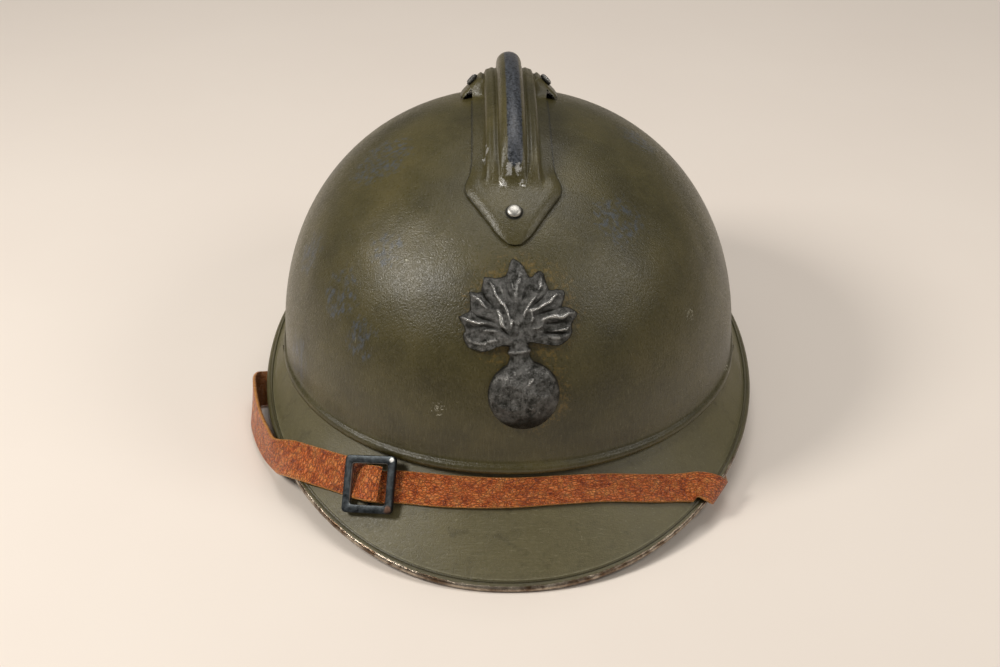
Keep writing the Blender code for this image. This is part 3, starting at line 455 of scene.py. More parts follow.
def marking(add, place, size, detail, roughness):  # a noise with marks of a real size in mm
    if isinstance(size, tuple):
        place, scale = add("mapping", place, tuple(1 / (part * millimetre) for part in size)), 1.0
    else:
        scale = 1 / (size * millimetre)
    return add("noise", place, scale, detail, roughness)


def layOver(add, colour, over, pattern, low, high, most=1.0):
    # another colour over the one below, from none of it where the pattern is at low to most at high
    return add("mixColours", add("softRange", pattern, low, high, 0.0, most), colour, over)


def setStops(ramp, stops):  # place and hex colour of each; the ramp has its first and last already
    elements = ramp.color_ramp.elements
    for element, (share, hexColour) in zip((elements[0], elements[1]), (stops[0], stops[-1])):
        element.position, element.color = share, (*linear(hexColour), 1)
    for share, hexColour in stops[1:-1]:
        elements.new(share).color = (*linear(hexColour), 1)
    return ramp


def paintedSteel(name, wornEdge=False, darkRing=None, ridgeWear=False, dusty=0.0, brim=False):
    # Khaki enamel brushed over a horizon-blue coat on pressed mild steel: satin, with brush marks,
    # patches where the blue shows through, and pale chips. On the binding it is worn to brown steel.
    look = paintLook
    finish, add = newMaterial(name)
    place = add("coordinates").outputs["Object"]

    def mark(name):
        return marking(add, place, *paintMarks[name])

    def carried(name, output="Fac"):
        return add("attribute", attribute_name=name).outputs[output]

    def pastSpots(pattern, spots, full, away, at):  # how far a pattern is past a cut that is lower at the spots
        return add("SUBTRACT", pattern, add("softRange", nearSpots(add, place, spots), 0.0, full, away, at))

    brush, grain, specks = mark("brimBrush" if brim else "brush"), mark("grain"), mark("specks")
    tone = setStops(add("ramp", mark("mottle")),
                    [(0.30, look["khakiDark"]), (0.50, look["khaki"]), (0.70, look["khakiLight"])])
    dust = add("MULTIPLY", add("softRange", brush, 0.45, 0.75), 0.22)
    colour = add("mixColours", dust, tone, look["dust"])
    dust = add("MULTIPLY_ADD", add("softRange", grain, 0.45, 0.7), 0.25 * dusty, 0.55 * dusty)
    colour = add("mixColours", dust, colour, look["dust"])
    # the blue coat shows as clusters of short rubbed strokes
    blue = pastSpots(mark("strokes"), blueSpots, 1.0, 0.72, 0.476)
    colour = layOver(add, colour, look["blueCoat"], blue, -0.04, 0.16, 0.66)
    # ochre dirt lies round the badge and in specks everywhere
    ochre = pastSpots(specks, grimeSpots, 0.8, 0.70, 0.46)
    colour = layOver(add, colour, look["ochre"], ochre, 0.0, 0.12, 0.6)
    for scratches, cut in (("longScratch", 0.63 if brim else 0.66), ("fineScratch", 0.68)):
        colour = layOver(add, colour, look["pale"], mark(scratches), cut, cut + 0.10, 0.65 if brim else 0.45)
    colour = layOver(add, colour, look["khakiDark"], mark("patches"), 0.52, 0.72, 0.45)
    chips = pastSpots(mark("chips"), chipSpots, 1.0, 0.80, 0.585)
    colour = layOver(add, colour, look["chip"], chips, 0.0, 0.02, 0.8)

    dull = look["roughness"] + 0.16 * dusty
    rough, metal = add("range", grain, 0.3, 0.7, dull - 0.08, dull + 0.14), 0.0
    if brim:  # a pale line lies along the binding: dust, and a painted highlight on the lip's edge
        line = add("MULTIPLY", carried("lipDustAndHighlight"), add("softRange", specks, 0.35, 0.6, 0.15, 0.7))
        colour = add("mixColours", line, colour, look["pale"])
    if wornEdge:  # out is the distance from the edge's middle in mm, outwards
        out = add("split", carried("sweepPlace", "Vector")).outputs["Y"]
        forward = add("split", place).outputs["Y"]
        wear = add("MULTIPLY", add("softRange", out, -1.25, 0.5), add("softRange", forward, -0.035, -0.11, 0.12, 0.62))
        bare = add("softRange", add("MULTIPLY_ADD", mark("ragged"), 0.8, wear), 0.66, 0.84)
        bare = add("MULTIPLY", bare, add("softRange", out, -1.9, -0.9))
        steelTone = layOver(add, look["rust"], look["brightSteel"], mark("alongEdge"), 0.40, 0.66)
        colour = add("mixColours", bare, colour, steelTone)
        # painted shade darkens the groove between the lip and the bead
        groove = add("softRange", add("ABSOLUTE", add("ADD", out, 1.75)), 0.55, 0.15, 0.0, 0.25)
        colour = add("mixColours", groove, colour, look["grimeAndShade"])
        colour = layOver(add, colour, look["khakiDark"], out, -1.3, -1.7, 0.4)
        # a pale line on the lip's inner edge: dust and a painted highlight
        colour = layOver(add, colour, look["pale"], out, -2.72, -2.88, 0.35)
        metal = add("MULTIPLY", bare, 0.85)
        rough = add("mixNumbers", bare, rough, look["steelRoughness"])
    if ridgeWear:  # the ridge is rubbed to a blue sheen and its nose to bare steel, with painted highlights on the nose
        worn = add("softRange", add("MULTIPLY_ADD", mark("scuffed"), 0.7, carried("ridgeWear")), 0.78, 0.98)
        sheen = layOver(add, look["shadowBlue"], look["worn"], grain, 0.42, 0.6)
        colour = add("mixColours", worn, colour, sheen)
        # bare steel and painted highlights on the nose
        bright = add("softRange", add("MULTIPLY_ADD", specks, 1.9, carried("noseWearAndHighlight")), 1.62, 1.95, 0.0, 0.85)
        colour = add("mixColours", bright, colour, look["noseSteelAndHighlight"])
        # painted shade: a dark line along the crest's edge, where it stands on the bowl
        colour = add("mixColours", carried("edgeShadeAndGrime"), colour, look["grimeAndShade"])
        metal = add("MULTIPLY", bright, 0.8)
        rough = add("mixNumbers", carried("noseWearAndHighlight"), rough, look["noseRoughness"])
    if darkRing:  # grime and painted shade of the recess in a ring round a rivet: its middle, and its inner and outer radius in mm
        middle, inner, outer = darkRing
        apart = add("distance", place, tuple(part * millimetre for part in middle))
        ring = add("softRange", apart, outer * millimetre, inner * millimetre)
        colour = add("mixColours", ring, colour, look["grimeAndShade"])
        rough = add("mixNumbers", ring, rough, look["grimeRoughness"])
    uneven = add("MULTIPLY_ADD", mark("fineBrush"), 1.3, add("MULTIPLY_ADD", brush, 0.8, grain))
    uneven = add("MULTIPLY_ADD", mark("dents"), 9.0, uneven)
    bump = add("bump", 0.8, 0.15 * millimetre, uneven)
    return setShader(finish, {"Base Color": colour, "Roughness": rough, "Metallic": metal, "Normal": bump})


bowlPaint = paintedSteel("brushedKhakiPaint")
brimPaint = paintedSteel("dustyKhakiPaint", dusty=0.8, brim=True)
bindingPaint = paintedSteel("wornBindingPaint", wornEdge=True, dusty=0.25)

print("5 bowl")

bowlShape = {"columns": 180, "domeRows": 46, "filletRows": 6, "beadRows": 12, "beadStart": 75.0, "beadEnd": -105.0}
neckUp = 1.9  # the dome ends this many radii over the bead's middle
filletCorner = (0.10, 1.12)  # what the fillet bends round, in shares of the bead's radius


def makeBowlTree():
    # The whole skin by one rule: a point of the base outline is drawn up into the dome, and below
    # it the profile turns round the bead. Row and column come from a flat grid.
    tree, ask, add = newTree("bowlSkin", [
        ("Columns", "Int", 8), ("Dome rows", "Int", 8), ("Fillet rows", "Int", 2), ("Bead rows", "Int", 4),
        ("Top height", "Float", 0.1), ("Rise power", "Float", 2.0), ("Round power", "Float", 2.0),
        ("Bead drop", "Float", 0.001), ("Bead start", "Float", 1.0), ("Bead end", "Float", -1.0),
        ("Middle", "Vector", None), ("Material", "Material", None)])
    rows = add("ADD", add("ADD", ask["Dome rows"], ask["Fillet rows"]), ask["Bead rows"])
    grid, column, row = gridOf(add, ask["Columns"], rows)
    column = add("FLOORED_MODULO", column, ask["Columns"])

    def onOutline(source, kind="FLOAT_VECTOR"):
        return add("sample", ask["Geometry"], source, column, data_type=kind)

    base = onOutline(add("position"))
    outward = onOutline(add("carried", "outward", data_type="FLOAT_VECTOR"))
    radius = onOutline(add("carried", "beadRadius", data_type="FLOAT"), "FLOAT")
    baseHeight = add("split", base).outputs["Z"]
    centreUp = add("SUBTRACT", radius, ask["Bead drop"])
    neck = add("DIVIDE", add("MULTIPLY_ADD", radius, neckUp, centreUp), add("SUBTRACT", ask["Top height"], baseHeight))
    domeShare = add("MINIMUM", add("DIVIDE", row, ask["Dome rows"]), 1.0)
    up = add("SINE", add("MULTIPLY", add("SUBTRACT", 1.0, domeShare), math.pi / 2))
    up = add("MULTIPLY_ADD", add("SUBTRACT", 1.0, neck), up, neck)
    inside = add("MAXIMUM", add("SUBTRACT", 1.0, add("POWER", up, ask["Rise power"])), 0.0)
    ring = add("POWER", inside, add("DIVIDE", 1.0, ask["Round power"]))
    fromMiddle = add("vectorMath", base, ask["Middle"], operation="SUBTRACT")
    drawnIn = add("vectorMath", fromMiddle, add("join", ring, ring), ask["Middle"], operation="MULTIPLY_ADD")
    height = add("mixNumbers", up, baseHeight, ask["Top height"])
    dome = add("together", drawnIn, add("join", 0.0, 0.0, height))
    pastDome = add("SUBTRACT", row, ask["Dome rows"])
    beadShare = add("DIVIDE", add("SUBTRACT", pastDome, ask["Fillet rows"]), ask["Bead rows"])
    angle = add("mixNumbers", add("MAXIMUM", beadShare, 0.0), ask["Bead start"], ask["Bead end"])

    def besideBase(outShare, upShare):  # a point of the bead's section, in shares of its radius
        moved = add("scaled", outward, add("MULTIPLY", radius, outShare))
        raised = add("join", 0.0, 0.0, add("MULTIPLY_ADD", radius, upShare, centreUp))
        return add("together", base, add("together", moved, raised))

    bead = besideBase(add("ADD", add("COSINE", angle), beadOut), add("SINE", angle))
    corner = besideBase(*filletCorner)
    share = add("clamp", add("DIVIDE", pastDome, ask["Fillet rows"]))
    skin = add("mixVectors", share, add("mixVectors", share, dome, corner), add("mixVectors", share, corner, bead))
    endTree(add, add("merge", add("setPosition", grid, skin), mergeWithin), ask["Material"])
    return tree


def loopMesh(name, points, closed, vectors=None, numbers=None):
    # a path of edges that carries named values on its points
    count = len(points)
    mesh = bpy.data.meshes.new(name)
    edges = [(i, (i + 1) % count) for i in range(count if closed else count - 1)]
    mesh.from_pydata(asMetres(points).tolist(), edges, [])
    for label, values in (vectors or {}).items():
        setNumbers(mesh, label, values, "FLOAT_VECTOR", "vector")
    for label, values in (numbers or {}).items():
        setNumbers(mesh, label, values)
    return mesh


turns = np.arange(bowlShape["columns"]) * fullTurn / bowlShape["columns"]
flatOut = brimFrame(turns)[1] - basePoint(turns)
flatOut[:, 2] = 0
outline = loopMesh("bowlOutline", basePoint(turns), True, {"outward": unit(flatOut)},
                   {"beadRadius": beadRadius(turns) * millimetre})
bowl = grow("bowlShell", outline, makeBowlTree(), {
    "Columns": bowlShape["columns"], "Dome rows": bowlShape["domeRows"], "Fillet rows": bowlShape["filletRows"],
    "Bead rows": bowlShape["beadRows"], "Top height": steel["bowlTop"] * millimetre,
    "Rise power": steel["risePower"], "Round power": steel["roundPower"],
    "Bead drop": steel["beadDrop"] * millimetre, "Bead start": math.radians(bowlShape["beadStart"]),
    "Bead end": math.radians(bowlShape["beadEnd"]), "Middle": (overOrigin[0] * millimetre, 0.0, 0.0),
    "Material": bowlPaint})
shape = bmesh.new()
shape.from_mesh(bowl.data)
bmesh.ops.remove_doubles(shape, verts=shape.verts, dist=mergeWithin)
bmesh.ops.recalc_face_normals(shape, faces=shape.faces)
topFace = max(shape.faces, key=lambda face: face.calc_center_median().z)
if topFace.normal.z < 0:
    bmesh.ops.reverse_faces(shape, faces=shape.faces)
shape.to_mesh(bowl.data)
shape.free()
wall = bowl.modifiers.new("wall", "SOLIDIFY")
wall.thickness = steel["wall"] * millimetre
wall.offset = -1
applyModifiers(bowl)
handOver(tidyMesh(bowl, sharp=50, outwards=False), "khaki_paint", "bowl")

print("6 visor and neck guard")

brimShape = {
    "visorColumns": 150, "guardColumns": 190, "rows": 24,
    "lip": 3.05, "lineWidth": 0.45,  # where the binding's lip ends, and the pale line of dust and painted highlight beside it
    "depth": 34.0, "lipRows": 13, "lipSpread": 0.05,  # rows close together where the lip ends
    "tongueHalf": 0.2,  # half of a tongue's breadth, as a share of the sheet's depth
}


def sheetEnd():
    start, edge, _, _ = brimFrame(np.array(0.0))
    return 1 - smallGap / np.linalg.norm(edge - start)


def brimShares():
    look = brimShape
    atLip = 1 - look["lip"] / look["depth"] + np.linspace(-look["lipSpread"], look["lipSpread"], look["lipRows"])
    return np.unique(np.concatenate([np.linspace(0, 1, look["rows"]), atLip]))


# a pale line of dust and painted highlight where the binding's lip ends
def addLipDustAndHighlight(piece, at, shares):
    start, edge, _, _ = brimFrame(np.broadcast_to(at, (at.shape[0], shares.shape[1])))
    fromEdge = (1 - shares) * np.linalg.norm(edge - start, axis=-1)
    grimeAndPaintedLight = np.exp(-((fromEdge - brimShape["lip"]) / brimShape["lineWidth"]) ** 2)
    setNumbers(piece.data, "lipDustAndHighlight", [grimeAndPaintedLight, grimeAndPaintedLight])
    return piece


def makeVisor():
    # a tongue at each end laps over the neck guard
    end, half = brimShape["tongueHalf"], steel["sheet"] / 2
    turnsIn = np.linspace(-sideJoint, sideJoint, brimShape["visorColumns"])
    past = np.array([1.0, 0.96, 0.88, 0.75, 0.6, 0.4, 0.2])
    joint = np.full(len(past), sideJoint)
    turn = np.concatenate([-joint, turnsIn, joint])[:, None]
    past = np.concatenate([-past, np.zeros(len(turnsIn)), past[::-1]])[:, None]
    share = brimShares()[None, :]
    reach = np.sqrt(np.clip(1 - ((share - 2 * end) / end) ** 2, 0, 1))
    rise = smooth((np.abs(turn) - sideJoint + steel["tongue"]) / steel["tongue"])
    window = smooth(share / end) * smooth((1 - end - share) / end)
    lift = (steel["sheet"] + smallGap) * rise * window
    at, share = turn + past * steel["tongue"] * reach, share * sheetEnd()
    grids = (brimPoint(at, share, lift + up) for up in (half, -half))
    return addLipDustAndHighlight(makePiece("visorSheet", *gridSheet(*grids), brimPaint), at, share)


def makeNeckGuard():
    first = sideJoint + smallGap / (steel["brimWidth"] / 2)
    turn = np.linspace(first, fullTurn - first, brimShape["guardColumns"])[:, None]
    share = brimShares()[None, :] * sheetEnd()
    grids = (brimPoint(turn, share, up) for up in (steel["sheet"] / 2, -steel["sheet"] / 2))
    return addLipDustAndHighlight(makePiece("neckGuardSheet", *gridSheet(*grids), brimPaint), turn, share)


handOver(tidyMesh(makeVisor()), "khaki_paint", "visor")
handOver(tidyMesh(makeNeckGuard()), "khaki_paint", "neck_guard")

print("7 edge binding")


def makeSweepTree():
    # a section carried along a path: each station of the path says which way is across and which is up
    tree, ask, add = newTree("sweepSection", [
        ("Section", "Object", None), ("Stations", "Int", 8), ("Path spans", "Int", 8), ("Section points", "Int", 8),
        ("Material", "Material", None)])
    grid, station, corner = gridOf(add, ask["Path spans"], ask["Section points"])
    station = add("FLOORED_MODULO", station, ask["Stations"])
    corner = add("FLOORED_MODULO", corner, ask["Section points"])
    position = add("position")
    section = add("object", ask["Section"]).outputs["Geometry"]
    section = add("split", add("sample", section, position, corner, data_type="FLOAT_VECTOR"))

    def onPath(label, kind="FLOAT_VECTOR"):
        source = add("carried", label, data_type=kind) if label else position
        return add("sample", ask["Geometry"], source, station, data_type=kind)

    across = add("scaled", onPath("acrossWay"), section.outputs["X"])
    up = add("scaled", onPath("upWay"), section.outputs["Y"])
    point = add("together", onPath(None), add("together", across, up))
    swept = add("join", onPath("reach", "FLOAT"), section.outputs["X"], section.outputs["Y"])
    stored = add("store", grid, "sweepPlace", swept, data_type="FLOAT_VECTOR")
    endTree(add, add("merge", add("setPosition", stored, point), mergeWithin), ask["Material"])
    return tree


sweepTree = makeSweepTree()


def sweep(name, points, acrossWays, upWays, section, finish, closed, reach=None):
    # acrossWays and upWays are in mm for each unit of the section
    points = np.asarray(points, float)
    if reach is None:
        reach = alongPath(points)
    ways = {"acrossWay": np.asarray(acrossWays) * millimetre, "upWay": np.asarray(upWays) * millimetre}
    path = loopMesh(name + "Path", points, closed, ways, {"reach": reach})
    flat = bpy.data.meshes.new(name + "Section")
    count, corners = len(points), len(section)
    flat.from_pydata([(out, up, 0.0) for out, up in section], [(i, (i + 1) % corners) for i in range(corners)], [])
    sectionObject = addObject(name + "Section", flat)
    piece = grow(name, path, sweepTree, {
        "Section": sectionObject, "Stations": count, "Path spans": count if closed else count - 1,
        "Section points": corners, "Material": finish})
    bpy.data.objects.remove(sectionObject)
    return piece


def bindingSection():
    # round outside, with a channel for the sheet's edge and a folded, slightly raised lip on top
    radius = steel["bindingRadius"]
    channel = steel["sheet"] / 2 + smallGap
    skin = channel + steel["bindingWall"]
    mouth = radius - steel["bindingWidth"]
    points = [(mouth + 0.15, channel), (mouth, channel + 0.15), (mouth, skin - 0.2), (mouth + 0.2, skin),
              (mouth + 0.9, skin + 0.02)]
    groove = ((-1.25, -0.10), (-1.08, -0.28), (-0.92, -0.22), (-0.72, 0.08))  # between the lip and the bead
    points += [(out * radius, skin + up) for out, up in groove]
    points.append((-0.45 * radius, radius - 0.05))
    for degrees in range(95, -110, -15):
        points.append((radius * math.cos(math.radians(degrees)), radius * math.sin(math.radians(degrees))))
    return points + [(-1.1 * radius, -skin), (mouth + 0.2, -skin), (mouth, -skin + 0.2), (mouth, -channel),
                     (0.0, -channel), (0.0, channel)]


def makeBinding():
    turn = np.arange(360) * fullTurn / 360
    _, edge, _, _ = brimFrame(turn)
    along = unit(edge - brimPoint(turn, 0.92))
    flat = along.copy()
    flat[:, 2] = 0
    section = bindingSection()
    piece = sweep("edgeBinding", edge, along, upFrom(along, unit(flat)), section, bindingPaint, True, np.degrees(turn))
    for vertex in piece.data.vertices:
        vertex.co.z = max(vertex.co.z, 0.0)  # worn flat where it stands
    return tidyMesh(piece, sharp=40)


handOver(makeBinding(), "khaki_paint", "edge_binding")

print("8 crest")

crestShape = {
    "offset": 0.8, "turn": math.radians(0.95), "front": 70.0, "rear": 98.0, "halfWidth": 19.8, "sheet": 0.8,
    "panel": 1.7, "margin": 5.0, "ridgeHeight": 17.8, "ridgeWidth": 10.2, "shoulderHeight": 9.3, "shoulderWidth": 21.0,
    "tabMiddle": 38.0, "tabHalfWidth": 21.2, "tabLength": 22.0, "tabSlope": 5.0, "tabRise": 0.95, "tabFoot": 0.04,
    "tabBulge": 0.1, "ventWidth": 4.8, "ventHeight": 4.0, "ventSill": -0.7, "rivetFromTip": 11.7, "sideRivetOut": 15.0,
    "tipRound": 8.0, "tipBlunt": 0.015,
    "rows": 132, "across": 141, "ease": 3, "edgeLine": 1.3,  # points across, passes that ease them, width of the painted shade along the edge
}
crestRows = np.array([  # place from the middle to the tip; width, ridge, shoulder and panel as shares
    (0.00, 0.84, 1.00, 1.00, 0.0), (0.28, 0.84, 0.96, 1.00, 0.0), (0.44, 0.84, 0.87, 0.96, 0.0),
    (0.55, 0.85, 0.71, 0.84, 0.1), (0.62, 0.88, 0.50, 0.60, 0.5), (0.66, 0.95, 0.30, 0.34, 0.9),
    (0.69, 0.99, 0.12, 0.13, 1.0), (0.72, 0.99, 0.02, 0.02, 1.0), (0.77, 0.87, 0.00, 0.00, 1.0),
    (0.88, 0.56, 0.00, 0.00, 1.0), (0.96, 0.33, 0.00, 0.00, 0.5), (1.00, 0.10, 0.00, 0.00, 0.0)])
crestSection = {  # distance from the middle and height, as shares of each part
    "ridge": [(0.00, 1.00), (0.28, 0.975), (0.55, 0.90), (0.78, 0.77), (0.93, 0.60), (1.00, 0.36), (1.02, 0.12)],
    "shoulder": [(0.06, 0.90), (0.17, 0.92), (0.30, 0.985), (0.42, 0.99), (0.53, 0.93), (0.63, 0.91), (0.76, 0.93),
                 (0.88, 0.86), (1.00, 0.68)],
    "flange": [(0.10, 0.42), (0.22, 0.20), (0.36, 0.07), (0.55, 0.01), (0.80, 0.0), (1.0, 0.0)],
    "edge": [(0.25, 0.0), (0.5, 0.0), (0.72, 0.0), (0.88, 0.0), (1.00, 0.00)],
}
pressBlur = ((-2.4, 0.12), (-1.2, 0.23), (0.0, 0.30), (1.2, 0.23), (2.4, 0.12))  # step in mm and weight
ridgeRub = {"offset": 0.9, "halfWidth": 3.4, "from": 6.0, "fade": 4.0}
# the first four spots lie where the ridge's nose catches the light: bare steel with painted highlights
noseWearAndHighlightSpots = [(0.1, -43.9, 2.2), (3.6, -43.9, 2.0), (-2.7, -47.3, 2.6), (4.9, -47.5, 2.2), (-10.0, -30.6, 1.7),
             (-9.3, -34.0, 1.7)]  # x, y and radius in mm


def crestMiddle(place):
    return crestShape["offset"] - place * math.tan(crestShape["turn"])


def crestStations():
    # rows every 1.3 mm; the table's shares are blurred a little, as the press leaves no kinks
    look = crestShape
    middle = (look["rear"] - look["front"]) / 2
    half = (look["rear"] + look["front"]) / 2
    places = np.linspace(middle - half, middle + half, look["rows"])
    ends = half * (1 - np.array([0.999, 0.996, 0.99, 0.98]))
    places = np.unique(np.concatenate([places, middle - half + ends, middle + half - ends]))
    rows = []
    for place in places:
        row = np.zeros(4)
        fromTip = half - abs(place - middle)
        for step, weight in pressBlur:
            share = min(abs(place - middle), half) + step * min(1.0, max(0.0, fromTip) / 3.0)
            at = abs(share) / half
            row += weight * np.array([np.interp(at, crestRows[:, 0], column) for column in crestRows.T[1:]])
        if fromTip < 0.48 * look["tipRound"]:  # the pointed end is a small circle
            circle = math.sqrt(fromTip * (2 * look["tipRound"] - fromTip)) / look["halfWidth"]
            row[0] = min(row[0], circle + look["tipBlunt"])
        rows.append((place, *row))
    return rows


def rounded(outline, count, passes):  # points at even steps along an outline, its corners eased
    points = np.array(outline)
    reach = alongPath(points)
    at = np.linspace(0, reach[-1], count)
    curve = np.stack([np.interp(at, reach, points[:, k]) for k in (0, 1)], axis=1)
    for _ in range(passes):
        curve[1:-1] = (curve[:-2] + 2 * curve[1:-1] + curve[2:]) / 4
    return curve


def crestHalf(place, width, ridge, shoulder, panel):
    look = crestShape
    flange = look["halfWidth"] * width
    margin = max(flange - look["margin"], 0.55 * flange)
    shoulderOut = min(look["shoulderWidth"] / 2, 0.9 * margin)
    radius = min(look["ridgeWidth"] / 2, 0.5 * margin)
    tab = float(smooth((look["tabLength"] / 2 - abs(place - look["tabMiddle"])) / look["tabSlope"]))
    lift = look["panel"] * panel
    high, low = look["ridgeHeight"] * ridge, look["shoulderHeight"] * shoulder
    steepHeight = look["shoulderHeight"] * look["tabRise"]
    bulge, foot = look["tabBulge"], look["tabFoot"]
    outline = []
    for part, points in crestSection.items():
        for out, up in points:
            if part == "ridge":
                flat = steep = (out * radius, lift + mix(0.8 * low, high, up))
            elif part == "shoulder":
                flat = steep = (mix(radius, shoulderOut, out), lift + low * up)
            elif part == "flange":
                flat = (mix(shoulderOut, margin, out), lift + low * up)
                steep = (mix(shoulderOut, look["tabHalfWidth"] - bulge, out), steepHeight * mix(1.0, foot, out))
            else:
                flat = (mix(margin, flange, out), lift * math.cos(out * math.pi / 2) ** 0.8)
                steep = (look["tabHalfWidth"] - bulge * (1 - out), steepHeight * foot * (1 - out))
            outline.append((mix(flat[0], steep[0], tab), mix(flat[1], steep[1], tab)))
    return outline


def movedInwards(outline, thickness):
    sides = np.diff(outline, axis=0)
    normals = unit(np.stack([sides[:, 1], -sides[:, 0]], axis=1))
    before = np.concatenate([normals[:1], normals])
    after = np.concatenate([normals, normals[-1:]])
    scale = thickness / np.maximum(1 + np.sum(before * after, axis=1), 0.5)
    return outline + (before + after) * scale[:, None]


def makeCrest(finish):
    look = crestShape
    top, bottom = [], []
    for row in crestStations():
        place, half = row[0], crestHalf(*row)
        whole = [(-out, up) for out, up in reversed(half[1:])] + half
        outer = rounded(whole, look["across"], look["ease"]) + np.array([0.0, look["sheet"]])
        for grid, outline in ((top, outer), (bottom, movedInwards(outer, look["sheet"]))):
            grid.append(overBowl(crestMiddle(place) + outline[:, 0], place, smallGap + outline[:, 1]))
    piece = makePiece("crestPressing", *gridSheet(np.array(top), np.array(bottom)), finish)
    fromEdge = np.minimum(np.arange(look["across"]), np.arange(look["across"])[::-1])
    # the edge's dark line is painted shade where the crest meets the bowl
    setSheet(piece, "edgeShadeAndGrime", np.tile(np.exp(-(fromEdge / look["edgeLine"]) ** 2), len(top)), 1.0)
    return piece


def rubCrest(piece):  # where the ridge is rubbed, and the bare spots with painted highlights on its nose
    ridgeWear, noseWearAndHighlight = [], []
    for vertex in piece.data.vertices:
        x, y, z = asMillimetres(vertex)
        over = z - float(bowlHeight(np.array(x), np.array(y)))
        aside = (x - crestMiddle(y) - ridgeRub["offset"]) / ridgeRub["halfWidth"]
        ridgeWear.append(math.exp(-aside ** 4) * min(1.0, max(0.0, (over - ridgeRub["from"]) / ridgeRub["fade"])))
        noseWearAndHighlight.append(max(math.exp(-(((x - a) / r) ** 2 + ((y - b) / (1.1 * r)) ** 2)) for a, b, r in noseWearAndHighlightSpots))
    setNumbers(piece.data, "ridgeWear", ridgeWear)
    setNumbers(piece.data, "noseWearAndHighlight", noseWearAndHighlight)
    return piece


def rivetSeats():  # for each rivet a point on the crest and its axis
    seats = {}
    look = crestShape
    for name, y in (("front", -look["front"] + look["rivetFromTip"]), ("rear", look["rear"] - look["rivetFromTip"])):
        x = crestMiddle(y)
        seats[name] = overBowl(x, y, smallGap + look["panel"] + look["sheet"]), bowlNormal(np.array(x), np.array(y))
    rise = look["shoulderHeight"] * look["tabRise"]
    run = look["tabHalfWidth"] - look["shoulderWidth"] / 2
    share = (look["sideRivetOut"] - look["shoulderWidth"] / 2) / run
    y = look["tabMiddle"]
    for name, side in (("left", -1), ("right", 1)):
        x = crestMiddle(y) + side * look["sideRivetOut"]
        up = bowlNormal(np.array(x), np.array(y))
        axis = unit(up * run + unit(np.cross([0, 1, 0], up)) * side * rise)
        seats[name] = overBowl(x, y, smallGap + look["sheet"] + rise * (1 - share)), axis
    return seats


def ventCutter(side):
    look = crestShape
    front = look["tabMiddle"] - look["tabLength"] / 2
    outer = look["tabHalfWidth"] - smallGap
    floor = smallGap + look["sheet"] + look["ventSill"]
    corners = ((outer - look["ventWidth"], 0.0), (outer, 0.0), (outer - look["ventWidth"], look["ventHeight"]))
    points = [overBowl(crestMiddle(place) + side * out, place, floor + up)
              for place in (front - look["tabSlope"] / 2, front + 1.5 * look["tabSlope"]) for out, up in corners]
    faces = [(0, 1, 2), (5, 4, 3), (0, 3, 4, 1), (1, 4, 5, 2), (2, 5, 3, 0)]
    return tidyMesh(makePiece("ventCutter", points, faces, crestPaint))


seats = rivetSeats()
frontSeat = tuple(seats["front"][0] + overOrigin)
# the dark ring round the front rivet is grime and painted shade of its recess
crestPaint = paintedSteel("wornCrestPaint", darkRing=(frontSeat, 3.2, 3.9), ridgeWear=True)
crest = tidyMesh(rubCrest(makeCrest(crestPaint)), sharp=50)
cutters = [ventCutter(side) for side in (-1, 1)]
for cutter in cutters:
    cut = crest.modifiers.new("vent", "BOOLEAN")
    cut.operation = "DIFFERENCE"
    cut.use_self = True
    cut.object = cutter
applyModifiers(crest)
for cutter in cutters:
    bpy.data.objects.remove(cutter)
handOver(shadeSmooth(crest, 50), "khaki_paint", "crest")

print("9 rivets")

badgeMetal = {"dark": "272723", "light": "72716E", "rubbed": "C6C5C1"}
bareMetal = {"dark": "77746C", "light": "E2DFD8", "roughness": 0.42, "pits": 900.0}  # pits coarse enough to show
rivetLook = {
    "head": 5.8, "dome": 1.7, "shank": 3.0, "tail": 3.8, "tailThick": 0.8, "slack": 1.0, "sides": 32,
    "rimFoot": 0.8, "rimAt": 0.86, "rimWidth": 0.22,  # height in mm, and shares of the head's radius
}
rivetHeads = {  # share of the head's radius, and how far under its top in mm; the side ones have a turned rim
    "front": [(0, 0.1), (0.35, 0.12), (0.7, 0.35), (0.85, 0.55), (0.95, 0.85)],
    "side": [(0, 0.9), (0.35, 0.85), (0.5, 0.5), (0.62, 0.05), (0.75, 0.0), (0.9, 0.25), (1.0, 0.7)],
    "rear": [(0, 0.0), (0.4, 0.1), (0.7, 0.4), (0.9, 0.8)],
}


